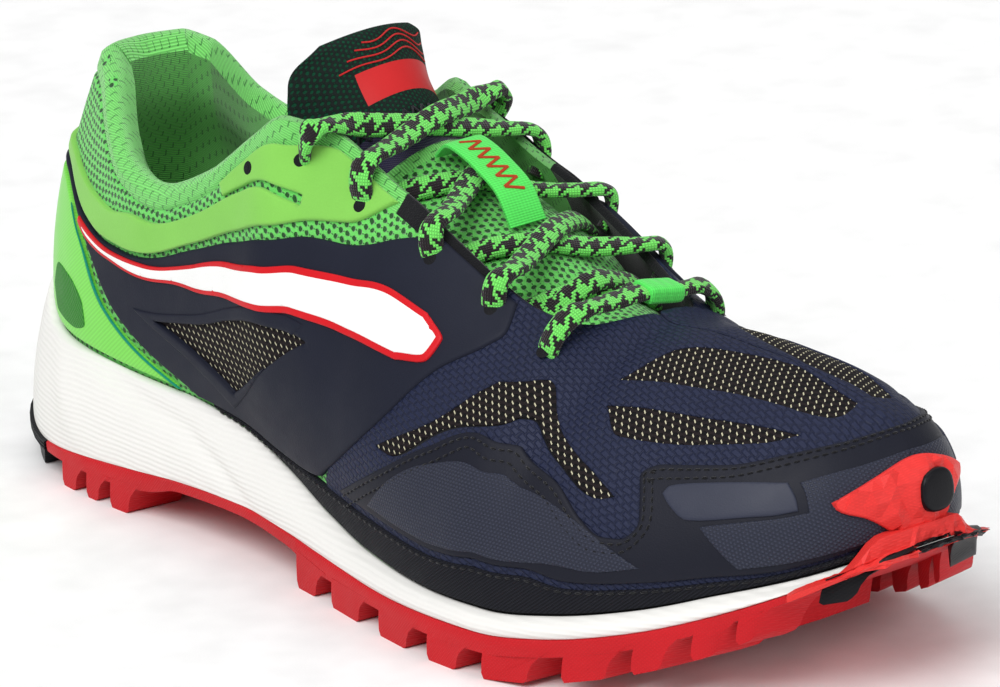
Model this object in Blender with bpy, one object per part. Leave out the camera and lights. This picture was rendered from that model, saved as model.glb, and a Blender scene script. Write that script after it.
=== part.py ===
"""Trail running shoe for the right foot, built from its maker's separate pieces.

+X points to the toe, -Y is the outer (lateral) side and +Z is up. Sizes are in metres.
A place on the upper is given by two shares. The turn is 0 at the heel and 1 at the toe, runs along the
lateral side from 0 to 1 and back along the medial side from 1 to 2. The rise is 0 at the sole and 1 at
the collar, the throat or the ridge of the toe box.
"""

import math

import bmesh
import bpy
import numpy as np
from mathutils import Matrix, Vector
from mathutils.geometry import delaunay_2d_cdt

# Driving sizes
LENGTH = 0.292
BALL_WIDTH = 0.108
HEEL_WIDTH = 0.084
HEEL_STACK = 0.0305
BALL_STACK = 0.0135
TOE_SPRING = 0.032
COLLAR_RISE = 0.067
INSTEP_RISE = 0.079
TOE_BOX_RISE = 0.054
TOE_TURN_IN = 0.009
FOOT_INSET = 0.009
UPPER_WALL = 0.002
COLLAR_PAD = 0.0075
COLLAR_ROLL = 0.0028
OVERLAY_WALL = 0.0009
OVERLAY_GAP = 0.0006
SEAM_GAP = 0.0007
FIT_GAP = 0.0003
CUP_RIM = 0.0024
TREAD_DEPTH = 0.0105
LUG_DEPTH = 0.0060
ARCH_PLATE = 0.0022
SOLE_SETBACK = 0.0010
LUG_DRAFT = 0.0008
LUG_RAKE = 0.0040
INSOLE_THICKNESS = 0.005
TONGUE_THICKNESS = 0.0045
TONGUE_OFFSET = 0.0006
BUMPER_WALL = 0.0022
PAD_WALL = 0.0012
STRIPE_WALL = 0.0006
LACE_WIDTH = 0.0062
LACE_THICKNESS = 0.0026
LACE_LIFT = 0.0034
LACE_TUCK = 0.0062
EDGE_RAISE = 0.0016
EDGE_WIDTH = 0.0040
BAR_LIFT = 0.0014
BAR_CLEARANCE = 0.022
TONGUE_CLEARANCE = 0.0007
LOOP_WIDTH = 0.014
LOOP_WALL = 0.0011
KEEPER_LENGTH = 0.008
KEEPER_WALL = 0.0008
KEEPER_PLAY = 0.0011
LOOP_LIFT = 0.0072
LOOP_CLEARANCE = 0.0004
RIM_ROLL_LEAST = 0.0004
RIM_DROP = 0.0004
SIDE_BULGE = 0.0010
INSOLE_PLAY = 0.0012
INSOLE_ROUND = 0.0015
LUG_ROOT = 0.0012
LUG_LEDGE = 0.00025
MIDDLE_LUG_GAP = 0.004
MIDDLE_LUG_LEAST = 0.003
MIDDLE_LUG_MOST = 0.017

# Shares of one size in another
PLATE_LEAST_SHARE = 1.3
LUG_REACH_SHARE = 0.62
TOE_LUG_SHARE = 0.35
PAD_PASS_SHARE = 2.4
CROSSING_LIFT_SHARE = 0.7
TONGUE_EDGE_SHARE = 0.45
LUG_HEEL_DRAFT_SHARE = 0.3
LUG_RAKE_SHARE = 0.8
STRAND_SHARES = (0.2, 0.35, 0.5, 0.65, 0.8)
CROSSING_REACH_SHARE = 0.3

# How finely the surfaces are cut
TURN_STEPS = 50
PANEL_CELL = 0.0085
WALL_RISES = (0.0, 0.07, 0.16, 0.27, 0.38, 0.50, 0.62, 0.74, 0.85, 0.94, 1.0)

# Turns where the throat ends at the ridge of the toe box
RIDGE_START = 0.64

# Rise up to which the direction out of a section is taken, short of its end
NORMAL_EDGE = 0.985

# Plane in which panels are cut, in metres: a turn is about this long and a rise about this high
PLANE_TURN = 0.42
PLANE_RISE = 0.080

OUTLINE = (
    # along the length, lateral and medial half widths as shares of the local width
    (0.02, 0.245, 0.245),
    (0.06, 0.375, 0.370),
    (0.12, 0.462, 0.455),
    (0.20, 0.497, 0.490),
    (0.30, 0.505, 0.470),
    (0.40, 0.488, 0.405),
    (0.50, 0.475, 0.355),
    (0.60, 0.500, 0.378),
    (0.68, 0.523, 0.432),
    (0.75, 0.505, 0.463),
    (0.82, 0.437, 0.458),
    (0.88, 0.350, 0.421),
    (0.93, 0.262, 0.357),
    (0.97, 0.160, 0.270),
)

STACK = (
    # along the length, height of the footbed as a share of the way from the ball stack to the heel stack
    (0.0, 1.0),
    (0.12, 1.0),
    (0.28, 0.98),
    (0.36, 0.84),
    (0.43, 0.53),
    (0.50, 0.18),
    (0.56, 0.03),
    (0.64, 0.0),
    (0.76, 0.0),
    (0.88, -0.05),
    (1.0, -0.5),
)

SPRING = (
    # along the length, height of the tread plane as a share of the toe spring
    (0.0, 0.14),
    (0.05, 0.05),
    (0.10, 0.0),
    (0.30, 0.0),
    (0.72, 0.0),
    (0.78, 0.06),
    (0.84, 0.18),
    (0.90, 0.38),
    (0.95, 0.64),
    (1.0, 1.0),
)

RUBBER = (
    # along the length, top of the rubber over the tread plane as a share of the tread depth, then how far
    # the plate thins out for the arch
    (0.0, 0.75, 0.0),
    (0.10, 0.80, 0.0),
    (0.20, 1.00, 0.0),
    (0.25, 1.10, 0.3),
    (0.30, 1.20, 1.0),
    (0.38, 1.25, 1.0),
    (0.45, 1.15, 0.8),
    (0.50, 1.05, 0.0),
    (0.60, 0.95, 0.0),
    (0.70, 1.00, 0.0),
    (0.80, 0.95, 0.0),
    (0.90, 0.85, 0.0),
    (0.95, 0.66, 0.0),
    (1.0, 0.32, 0.0),
)

INSETS = (
    # turn, how far the upper's foot stands in from the outline as a share of the foot inset
    (0.0, 1.0),
    (0.25, 1.0),
    (0.40, 0.95),
    (0.50, 0.80),
    (0.62, 0.55),
    (0.80, 0.62),
    (0.90, 0.78),
    (1.0, 0.95),
)

CUP_RISES = (
    # turn, rise where the midsole's rim ends on the upper
    (0.0, 0.130),
    (0.08, 0.120),
    (0.12, 0.095),
    (0.18, 0.045),
    (0.25, 0.035),
    (0.36, 0.022),
    (0.80, 0.022),
    (0.88, 0.014),
    (1.0, 0.012),
)

INSOLE = (
    # along the length, thickness as a share of the insole thickness
    (0.0, 0.9),
    (0.30, 1.0),
    (0.42, 1.5),
    (0.52, 1.9),
    (0.62, 1.2),
    (0.80, 0.8),
    (1.0, 0.7),
)

LATERAL_SECTIONS = (
    # turn, top along the length, top to the side as a share of half the width, top height as a share of
    # the local rise, angle and pull at the foot, angle and pull at the top
    (0.000, 0.082, 0.00, 1.00, 86, 0.39, 70, 0.33),
    (0.100, 0.092, -0.26, 1.01, 86, 0.39, 70, 0.33),
    (0.160, 0.123, -0.42, 0.96, 86, 0.39, 72, 0.30),
    (0.220, 0.163, -0.62, 0.83, 84, 0.33, 78, 0.27),
    (0.280, 0.202, -0.75, 0.73, 80, 0.30, 84, 0.24),
    (0.330, 0.247, -0.80, 0.70, 78, 0.27, 84, 0.24),
    (0.380, 0.312, -0.78, 0.77, 74, 0.28, 80, 0.28),
    (0.420, 0.363, -0.71, 0.89, 70, 0.31, 76, 0.31),
    (0.450, 0.401, -0.62, 0.99, 68, 0.33, 68, 0.35),
    (0.475, 0.445, -0.47, 1.01, 68, 0.33, 56, 0.33),
    (0.520, 0.521, -0.41, 0.96, 68, 0.30, 50, 0.30),
    (0.560, 0.586, -0.40, 0.94, 68, 0.30, 44, 0.30),
    (0.600, 0.654, -0.37, 0.95, 68, 0.31, 32, 0.31),
    (0.620, 0.699, -0.28, 0.97, 69, 0.34, 16, 0.37),
)

RIDGE_SECTIONS = (
    # the same columns, for the sections that meet on the ridge of the toe box
    (0.640, 0.723, 0.02, 1.03, 70, 0.36, 0, 0.54),
    (0.700, 0.771, 0.07, 1.00, 70, 0.33, 0, 0.50),
    (0.760, 0.815, 0.12, 0.93, 72, 0.31, 0, 0.50),
    (0.820, 0.853, 0.16, 0.85, 74, 0.30, 0, 0.48),
    (0.880, 0.884, 0.18, 0.76, 76, 0.28, 0, 0.43),
    (0.940, 0.904, 0.19, 0.70, 78, 0.28, 0, 0.35),
    (1.000, 0.914, 0.19, 0.67, 80, 0.28, 0, 0.31),
)

MEDIAL_SECTIONS = (
    # the same columns, with the turn counted from the heel along the medial side
    (0.100, 0.092, 0.29, 1.00, 86, 0.39, 70, 0.33),
    (0.160, 0.111, 0.44, 0.96, 86, 0.39, 72, 0.30),
    (0.220, 0.140, 0.62, 0.78, 84, 0.33, 78, 0.27),
    (0.280, 0.178, 0.71, 0.71, 80, 0.30, 84, 0.24),
    (0.330, 0.226, 0.75, 0.71, 78, 0.27, 84, 0.24),
    (0.380, 0.295, 0.75, 0.76, 74, 0.28, 80, 0.28),
    (0.420, 0.353, 0.69, 0.85, 70, 0.31, 76, 0.31),
    (0.450, 0.394, 0.60, 0.94, 68, 0.33, 68, 0.35),
    (0.475, 0.438, 0.49, 0.95, 68, 0.33, 56, 0.33),
    (0.520, 0.514, 0.47, 0.91, 70, 0.30, 54, 0.30),
    (0.560, 0.579, 0.45, 0.89, 70, 0.30, 50, 0.30),
    (0.600, 0.658, 0.37, 0.91, 70, 0.31, 34, 0.31),
    (0.620, 0.709, 0.26, 0.93, 70, 0.34, 18, 0.37),
)

TONGUE = (
    # along the length, height over the footbed and half width as shares of the instep rise, thickness share,
    # then how far its sides bend down as a share of the half width
    (0.775, 0.615, 0.13, 0.50, 0.15),
    (0.735, 0.645, 0.16, 0.60, 0.20),
    (0.700, 0.665, 0.18, 0.75, 0.30),
    (0.655, 0.700, 0.25, 0.90, 0.40),
    (0.590, 0.830, 0.30, 1.00, 0.42),
    (0.525, 0.905, 0.30, 1.00, 0.48),
    (0.480, 0.960, 0.28, 1.00, 0.72),
    (0.445, 1.010, 0.275, 1.10, 0.92),
    (0.420, 1.075, 0.27, 1.30, 0.85),
    (0.405, 1.130, 0.26, 1.30, 0.65),
    (0.397, 1.165, 0.235, 1.20, 0.45),
    (0.392, 1.182, 0.17, 0.90, 0.30),
)

# Panels on the upper, as (turn, rise) points along each edge from corner to corner
COUNTER = (
    ((0.0, 0.560), (0.12, 0.555), (0.185, 0.535)),
    ((0.185, 0.535), (0.23, 0.47), (0.28, 0.27), (0.318, 0.14), (0.352, 0.050)),
    ((0.352, 0.050), (0.268, 0.058), (0.18, 0.066), (0.12, 0.118), (0.0, 0.152)),
)
COLLAR_BAND = (
    ((-0.425, 0.835), (-0.378, 0.87), (-0.318, 0.87), (-0.268, 0.78), (-0.22, 0.72), (-0.16, 0.665),
     (0.0, 0.680), (0.16, 0.665), (0.22, 0.72), (0.268, 0.78), (0.318, 0.87), (0.378, 0.87), (0.43, 0.83),
     (0.468, 0.785)),
    ((0.468, 0.785), (0.468, 0.81)),
    ((0.468, 0.81), (0.405, 0.865)),
    ((0.405, 0.865), (0.40, 0.93)),
    ((0.40, 0.93), (0.42, 0.935), (0.45, 0.935), (0.478, 0.965)),
    ((0.478, 0.965), (0.518, 0.965)),
    ((0.518, 0.965), (0.497, 0.82), (0.438, 0.705), (0.378, 0.745), (0.292, 0.65), (0.242, 0.605),
     (0.19, 0.597), (0.12, 0.617), (0.0, 0.625), (-0.12, 0.617), (-0.19, 0.597), (-0.242, 0.605),
     (-0.292, 0.65), (-0.378, 0.745), (-0.425, 0.725)),
    ((-0.425, 0.725), (-0.425, 0.835)),
)
SADDLE = (
    ((0.06, 0.602), (0.12, 0.597), (0.19, 0.578), (0.242, 0.588), (0.292, 0.63), (0.378, 0.72), (0.438, 0.67),
     (0.495, 0.76), (0.545, 0.955)),
    ((0.545, 0.955), (0.552, 0.972), (0.598, 0.972)),
    ((0.598, 0.972), (0.602, 0.86), (0.598, 0.80), (0.58, 0.66), (0.555, 0.46), (0.503, 0.19)),
    ((0.503, 0.19), (0.495, 0.15), (0.43, 0.062), (0.372, 0.045)),
    ((0.372, 0.045), (0.335, 0.15), (0.297, 0.28), (0.247, 0.48), (0.200, 0.552), (0.12, 0.573),
     (0.06, 0.578)),
    ((0.06, 0.578), (0.06, 0.602)),
)
STRIPE = (
    ((0.212, 0.570), (0.235, 0.577), (0.275, 0.596), (0.332, 0.648), (0.384, 0.655), (0.439, 0.600),
     (0.475, 0.638), (0.507, 0.706), (0.540, 0.765), (0.563, 0.775)),
    ((0.563, 0.775), (0.577, 0.740), (0.574, 0.670), (0.555, 0.615)),
    ((0.555, 0.615), (0.508, 0.570), (0.478, 0.520), (0.440, 0.480), (0.400, 0.515), (0.353, 0.570),
     (0.300, 0.556), (0.262, 0.538), (0.235, 0.532), (0.212, 0.544)),
    ((0.212, 0.544), (0.212, 0.570)),
)
MUDGUARD_TOP = (
    ((0.515, 0.172), (0.56, 0.34), (0.59, 0.47), (0.613, 0.56), (0.635, 0.51), (0.672, 0.44), (0.700, 0.345),
     (0.716, 0.305), (0.729, 0.300), (0.737, 0.34), (0.731, 0.42), (0.724, 0.49), (0.738, 0.525),
     (0.79, 0.53), (0.865, 0.62), (0.93, 0.70), (1.0, 0.74)),
)
MUDGUARD_FOOT = (
    ((1.0, 0.094), (0.91, 0.088), (0.855, 0.084), (0.79, 0.118), (0.753, 0.137), (0.70, 0.157), (0.67, 0.192),
     (0.628, 0.187), (0.583, 0.187), (0.527, 0.177), (0.515, 0.172)),
)
RAND = (
    ((0.385, 0.050), (0.43, 0.056), (0.495, 0.135), (0.527, 0.158), (0.583, 0.168), (0.628, 0.168),
     (0.67, 0.173), (0.70, 0.138), (0.753, 0.118), (0.79, 0.099), (0.855, 0.070), (0.91, 0.074), (1.0, 0.078)),
    ((1.0, 0.034), (0.91, 0.034), (0.70, 0.036), (0.50, 0.034), (0.385, 0.034)),
    ((0.385, 0.034), (0.385, 0.050)),
)
BUMPER = (
    ((0.895, 0.38), (0.935, 0.47), (0.975, 0.55), (1.0, 0.57)),
    ((1.0, 0.045), (0.965, 0.045), (0.94, 0.050)),
    ((0.94, 0.050), (0.963, 0.14)),
    ((0.963, 0.14), (0.93, 0.27), (0.895, 0.38)),
)
EYESTAY_MEDIAL = (
    ((1.455, 0.955), (1.505, 0.80), (1.532, 0.84)),
    ((1.532, 0.84), (1.526, 0.965)),
    ((1.526, 0.965), (1.482, 0.965), (1.455, 0.955)),
)
BUMPER_PAD_AT = (1.01, 0.33)
BUMPER_PAD_RADII = (0.032, 0.16)

# Lugs as the middle of each along the length, and its own length in shares of the lug pitch
HEEL_PAD_END = 0.105
TOE_LUGS_START = 0.955
LUG_PITCH = 0.018
RED_HEEL_LUGS = ((0.152, 0.50), (0.188, 0.42), (0.226, 0.55))
BALL_LUGS = (
    (0.486, 0.62),
    (0.548, 0.85),
    (0.622, 0.80),
    (0.688, 0.72),
    (0.755, 0.85),
    (0.822, 0.70),
    (0.868, 0.50),
    (0.908, 0.45),
    (0.935, 0.36),
)
BLACK_HEEL_LUGS = ((0.040, 0.50), (0.076, 0.50))
TOE_LUGS = ((0.972, 0.34),)
LUG_REACH = 0.016
LUG_SLANT = 0.002
CHEVRON_POINT = 0.0035

# Eyelets counted from the collar, as turns with their rise, alike on both sides
EYELETS = (
    (0.463, 0.90),
    (0.500, 0.88),
    (0.550, 0.90),
    (0.590, 0.90),
    (0.618, 0.84),
)

LOOP = (
    # along the length, and height over the tongue as a share of the loop's lift
    (0.572, 0.0),
    (0.556, 0.80),
    (0.535, 1.0),
    (0.515, 1.0),
    (0.498, 0.80),
    (0.484, 0.0),
)

NAVY = (0.018, 0.020, 0.040)
GREY = (0.050, 0.055, 0.080)
LIME = (0.28, 0.68, 0.10)
MESH_GREEN = (0.20, 0.78, 0.18)
RED = (0.75, 0.03, 0.04)
CORAL = (0.90, 0.08, 0.07)
WHITE = (0.86, 0.85, 0.80)
BLACK = (0.010, 0.010, 0.013)


def clear_scene():
    for thing in list(bpy.data.objects):
        bpy.data.objects.remove(thing, do_unlink=True)


def material(name, colour, roughness):
    made = bpy.data.materials.new(name)
    made.use_nodes = True
    shader = made.node_tree.nodes["Principled BSDF"]
    shader.inputs["Base Color"].default_value = (*colour, 1.0)
    shader.inputs["Roughness"].default_value = roughness
    shader.inputs["Metallic"].default_value = 0.0
    return made


def solid(name, points, faces, colour, roughness=0.7):
    """One named object from points and faces, welded, with its faces turned outward."""
    mesh = bpy.data.meshes.new(name)
    built = bmesh.new()
    corners = [built.verts.new(Vector(point)) for point in points]
    for face in faces:
        loop = list(dict.fromkeys(face))
        if len(loop) > 2:
            built.faces.new([corners[index] for index in loop])
    bmesh.ops.remove_doubles(built, verts=built.verts, dist=1e-6)
    bmesh.ops.dissolve_degenerate(built, edges=built.edges, dist=1e-7)
    bmesh.ops.recalc_face_normals(built, faces=built.faces)
    if built.calc_volume(signed=True) < 0:
        bmesh.ops.reverse_faces(built, faces=built.faces)
    built.to_mesh(mesh)
    built.free()
    mesh.shade_smooth()
    mesh.set_sharp_from_angle(angle=math.radians(40))
    mesh.materials.append(material(name, colour, roughness))
    made = bpy.data.objects.new(name, mesh)
    bpy.context.scene.collection.objects.link(made)
    return made


def monotone(rows, column, at):
    """Cubic interpolation of one column of a table that adds no overshoot between its rows."""
    table = np.asarray(rows, float)
    xs = table[:, 0]
    ys = table[:, column]
    span = np.diff(xs)
    rate = np.diff(ys) / span
    slope = np.concatenate([rate[:1], np.zeros(len(xs) - 2), rate[-1:]])
    for i in range(1, len(xs) - 1):
        if rate[i - 1] * rate[i] > 0:
            before = 2 * span[i] + span[i - 1]
            after = span[i] + 2 * span[i - 1]
            slope[i] = (before + after) / (before / rate[i - 1] + after / rate[i])
    at = np.asarray(at, float)
    i = np.clip(np.searchsorted(xs, at, side="right") - 1, 0, len(xs) - 2)
    t = (at - xs[i]) / span[i]
    near = (1 + 2 * t) * (1 - t) ** 2 * ys[i] + t * (1 - t) ** 2 * span[i] * slope[i]
    far = t * t * (3 - 2 * t) * ys[i + 1] + t * t * (t - 1) * span[i] * slope[i + 1]
    return near + far


def closed_rows(lateral, medial):
    """Rows of period 2 from a lateral and a medial table, with a copy before and after them."""
    once = [tuple(row) for row in lateral] + [(2 - row[0], *row[1:]) for row in medial]
    once = sorted(row for row in once if row[0] < 2)
    before = [(row[0] - 2, *row[1:]) for row in once]
    after = [(row[0] + 2, *row[1:]) for row in once]
    return before + once + after


def both_sides(rows):
    return closed_rows(rows, [row for row in rows if 0 < row[0] < 1])


def smooth_spline(rows, at):
    """Natural cubic spline through rows of two columns."""
    table = np.asarray(rows, float)
    xs = table[:, 0]
    ys = table[:, 1]
    span = np.diff(xs)
    count = len(xs)
    system = np.eye(count)
    right = np.zeros(count)
    for i in range(1, count - 1):
        system[i, i - 1] = span[i - 1]
        system[i, i] = 2 * (span[i - 1] + span[i])
        system[i, i + 1] = span[i]
        right[i] = 6 * ((ys[i + 1] - ys[i]) / span[i] - (ys[i] - ys[i - 1]) / span[i - 1])
    bend = np.linalg.solve(system, right)
    at = np.asarray(at, float)
    i = np.clip(np.searchsorted(xs, at) - 1, 0, count - 2)
    a = (xs[i + 1] - at) / span[i]
    b = (at - xs[i]) / span[i]
    curve = ((a**3 - a) * bend[i] + (b**3 - b) * bend[i + 1]) * span[i] ** 2 / 6
    return a * ys[i] + b * ys[i + 1] + curve


def local_width(x):
    share = np.clip((np.asarray(x) / LENGTH - 0.3) / 0.3, 0, 1)
    return HEEL_WIDTH + (BALL_WIDTH - HEEL_WIDTH) * share * share * (3 - 2 * share)


def turn_of(along):
    return np.arccos(1 - 2 * np.asarray(along, float)) / math.pi


def outline(turn):
    """Plan outline of the sole at a turn, as x and y."""
    rows = [(0.0, 0.0), (1.0, TOE_TURN_IN)]
    for along, lateral, medial in OUTLINE:
        width = float(local_width(along * LENGTH))
        rows.append((float(turn_of(along)), -lateral * width))
        rows.append((2 - float(turn_of(along)), medial * width))
    once = sorted(rows)
    rows = [(u - 2, y) for u, y in once] + once + [(u + 2, y) for u, y in once]
    turn = np.mod(turn, 2.0)
    return (1 - np.cos(math.pi * turn)) / 2 * LENGTH, smooth_spline(rows, turn)


def outward(turn):
    """Horizontal direction out of the outline at a turn."""
    step = 1e-3
    x0, y0 = outline(np.asarray(turn) - step)
    x1, y1 = outline(np.asarray(turn) + step)
    long = np.hypot(x1 - x0, y1 - y0)
    return np.stack([(y1 - y0) / long, -(x1 - x0) / long, 0 * long], -1)


def tread_plane(x):
    return TOE_SPRING * monotone(SPRING, 1, np.asarray(x) / LENGTH)


def footbed(x):
    share = monotone(STACK, 1, np.asarray(x) / LENGTH)
    return tread_plane(x) + BALL_STACK + (HEEL_STACK - BALL_STACK) * share


def rubber_top(x):
    return tread_plane(x) + TREAD_DEPTH * monotone(RUBBER, 1, np.asarray(x) / LENGTH)


def rubber_bottom(x):
    arch = monotone(RUBBER, 2, np.asarray(x) / LENGTH)
    tall = rubber_top(x) - tread_plane(x)
    plain = tread_plane(x) + LUG_DEPTH * np.minimum(1, tall / (PLATE_LEAST_SHARE * LUG_DEPTH))
    return plain + arch * (rubber_top(x) - ARCH_PLATE - plain)


def on_outline(turn, inset, height):
    """Points at a distance inside the outline, at a height that is a function of x."""
    x, y = outline(turn)
    out = outward(turn)
    x = x - inset * out[..., 0]
    y = y - inset * out[..., 1]
    return np.stack([x, y, height(x)], -1)


def foot_line(turn):
    """Where the upper's outer face meets the footbed."""
    share = monotone(both_sides(INSETS), 1, np.mod(turn, 2.0))
    points = on_outline(turn, FOOT_INSET * share, footbed)
    points[..., 2] += FIT_GAP
    return points


def local_rise(turn):
    """Named height that the top of a section is a share of."""
    side = 1 - np.abs(1 - np.mod(turn, 2.0))
    rows = (
        (0.0, COLLAR_RISE),
        (0.33, COLLAR_RISE),
        (0.45, INSTEP_RISE),
        (0.52, INSTEP_RISE),
        (0.66, TOE_BOX_RISE),
        (1.0, TOE_BOX_RISE),
    )
    return monotone(rows, 1, side)


def section_value(column, turn):
    """A column of the section tables, with the ridge alike on both sides."""
    turn = np.mod(turn, 2.0)
    side = 1 - np.abs(1 - turn)
    rows = closed_rows(LATERAL_SECTIONS + RIDGE_SECTIONS, MEDIAL_SECTIONS + RIDGE_SECTIONS[:-1])
    ridge = monotone(RIDGE_SECTIONS, column, np.clip(side, RIDGE_START, 1.0))
    return np.where(side > RIDGE_START - 1e-6, ridge, monotone(rows, column, turn))


def top_line(turn):
    """The collar's rim, the throat's edge and the ridge of the toe box."""
    x = section_value(1, turn) * LENGTH
    y = section_value(2, turn) * local_width(x) / 2
    z = footbed(x) + section_value(3, turn) * local_rise(turn)
    return np.stack([x, y, z], -1)


def ridge_slope(turn):
    """Fall of the ridge for each step forward, and none behind the ridge."""
    side = 1 - np.abs(1 - np.mod(turn, 2.0))
    at = np.clip(side, RIDGE_START + 0.01, 0.99)
    ahead = top_line(at + 0.01)
    behind = top_line(at - 0.01)
    fall = (ahead[..., 2] - behind[..., 2]) / (ahead[..., 0] - behind[..., 0])
    return np.where(side > RIDGE_START - 1e-6, fall, 0.0)


def surface(turn, rise):
    """Outer face of the upper: a cubic curve from the foot line to the top line in each section."""
    turn, rise = np.broadcast_arrays(np.asarray(turn, float), np.asarray(rise, float))
    foot = foot_line(turn)
    top = top_line(turn)
    out = outward(turn)
    up = np.array([0.0, 0.0, 1.0])
    tall = local_rise(turn)
    low_angle = np.radians(section_value(4, turn))[..., None]
    high_angle = np.radians(section_value(6, turn))[..., None]
    low_pull = (section_value(5, turn) * tall)[..., None]
    high_pull = (section_value(7, turn) * tall)[..., None]
    lean = out + (ridge_slope(turn) * out[..., 0])[..., None] * up
    low = foot + low_pull * (np.cos(low_angle) * out + np.sin(low_angle) * up)
    high = top + high_pull * (np.cos(high_angle) * lean - np.sin(high_angle) * up)
    t = rise[..., None]
    return (1 - t) ** 3 * foot + 3 * (1 - t) ** 2 * t * low + 3 * (1 - t) * t**2 * high + t**3 * top


def one_normal(turn, rise):
    step = 1e-3
    rise = np.clip(rise, step, NORMAL_EDGE)
    along = surface(turn + step, rise) - surface(turn - step, rise)
    upward = surface(turn, rise + step) - surface(turn, rise - step)
    facing = np.cross(along, upward)
    return facing / np.linalg.norm(facing, axis=-1, keepdims=True)


def normal(turn, rise):
    """Direction out of the upper, the same from both sides on the ridge."""
    turn, rise = np.broadcast_arrays(np.asarray(turn, float), np.asarray(rise, float))
    facing = one_normal(turn, rise)
    side = 1 - np.abs(1 - np.mod(turn, 2.0))
    ridge = (rise > 0.999) & (side > RIDGE_START - 1e-6)
    facing = np.where(ridge[..., None], facing + one_normal(2 - turn, rise), facing)
    return facing / np.linalg.norm(facing, axis=-1, keepdims=True)


def lifted(turn, rise, lift):
    """Points off the upper's outer face by a distance, outward when positive."""
    return surface(turn, rise) + np.asarray(lift)[..., None] * normal(turn, rise)


def wall_at(turn, rise):
    """Thickness of the upper's wall, with the padded collar."""
    side = 1 - np.abs(1 - np.mod(turn, 2.0))
    along = np.clip((0.50 - side) / 0.12, 0, 1)
    high = np.clip((rise - 0.45) / 0.40, 0, 1)
    share = along * along * (3 - 2 * along) * high * high * (3 - 2 * high)
    return UPPER_WALL + (COLLAR_PAD - UPPER_WALL) * share


def grid_faces(rows, columns, start, wrap, flip=False):
    faces = []
    for row in range(rows - 1):
        for column in range(columns if wrap else columns - 1):
            beside = (column + 1) % columns
            low = start + row * columns
            quad = (low + column, low + beside, low + columns + beside, low + columns + column)
            faces.append(quad[::-1] if flip else quad)
    return faces


def make_upper():
    turns = np.arange(2 * TURN_STEPS) / TURN_STEPS
    rises = np.array(WALL_RISES)
    grid_turn, grid_rise = np.meshgrid(turns, rises)
    outer = lifted(grid_turn, grid_rise, 0 * grid_turn)
    inner = lifted(grid_turn, grid_rise, -wall_at(grid_turn, grid_rise))
    inner[0, :, 2] = outer[0, :, 2]
    rows, columns = grid_turn.shape
    size = rows * columns
    pad = (wall_at(turns, np.ones_like(turns)) - UPPER_WALL) / (COLLAR_PAD - UPPER_WALL)
    roll = RIM_ROLL_LEAST + (COLLAR_ROLL - RIM_ROLL_LEAST) * pad
    top_out = outer[-1]
    top_in = inner[-1]
    rim = []
    for share in (0.25, 0.75):
        height = np.sin(math.pi * share) * roll
        rim.append(top_out + (top_in - top_out) * share + np.stack([0 * roll, 0 * roll, height], -1))
    points = np.concatenate([outer.reshape(-1, 3), inner.reshape(-1, 3), rim[0], rim[1]])
    faces = grid_faces(rows, columns, 0, True) + grid_faces(rows, columns, size, True, flip=True)
    first_rim = 2 * size
    second_rim = first_rim + columns
    side = 1 - np.abs(1 - turns)
    for column in range(columns):
        beside = (column + 1) % columns
        faces.append((column, size + column, size + beside, beside))
        if side[column] > RIDGE_START + 1e-6 or side[beside] > RIDGE_START + 1e-6:
            continue
        steps = [size - columns, first_rim, second_rim, 2 * size - columns]
        for low, high in zip(steps, steps[1:]):
            faces.append((low + column, low + beside, high + beside, high + column))
    return solid("upper", points, faces, NAVY)


def sole_turns(first, last):
    turns = np.arange(TURN_STEPS + 1) / TURN_STEPS
    inside = turns[(turns > first + 0.004) & (turns < last - 0.004)]
    return np.concatenate([[first], inside, [last]])


def layered(name, first, last, levels, colour, roughness=0.7):
    """A piece of the sole between two turns, closed across between its lateral and medial sides.

    Each level is a function that gives the points at an array of turns, from the underside up and in.
    """
    turns = sole_turns(first, last)
    count = len(turns)
    ends = [(end, at, float(outline(end)[0])) for end, at in ((first, 0), (last, count - 1)) if 0 < end < 1]
    points = []
    for level in levels:
        for side in (level(turns), level(2 - turns)):
            for _, at, x in ends:
                side[at, 0] = x
            points.append(side)
    faces = []
    for step in range(len(levels) - 1):
        for side in (0, 1):
            low = (2 * step + side) * count
            high = low + 2 * count
            for i in range(count - 1):
                faces.append((low + i, low + i + 1, high + i + 1, high + i))
    top = (2 * len(levels) - 2) * count
    for start in (0, top):
        for i in range(count - 1):
            faces.append((start + i, start + i + 1, start + count + i + 1, start + count + i))
    for _, at, _ in ends:
        for step in range(len(levels) - 1):
            low = 2 * step * count + at
            faces.append((low, low + count, low + 3 * count, low + 2 * count))
    return solid(name, np.concatenate(points), faces, colour, roughness)


def cup_rise(turn):
    return monotone(both_sides(CUP_RISES), 1, np.mod(turn, 2.0))


def rim_inner(turn):
    return lifted(turn, cup_rise(turn), FIT_GAP + 0 * np.asarray(turn))


def rim_outer(turn):
    points = rim_inner(turn) + CUP_RIM * outward(turn)
    points[..., 2] -= RIM_DROP
    return points


def midsole_side(share, bulge):
    """Side of the midsole, part of the way from the rubber up to the rim."""

    def level(turn):
        low = on_outline(turn, SOLE_SETBACK, lambda x: rubber_top(x) + FIT_GAP)
        points = low + (rim_outer(turn) - low) * share
        return points + bulge * outward(turn)

    return level


def cup_floor(inset):
    def level(turn):
        points = foot_line(turn) + (FIT_GAP - inset) * outward(turn)
        points[..., 2] = footbed(points[..., 0])
        return points

    return level


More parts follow.
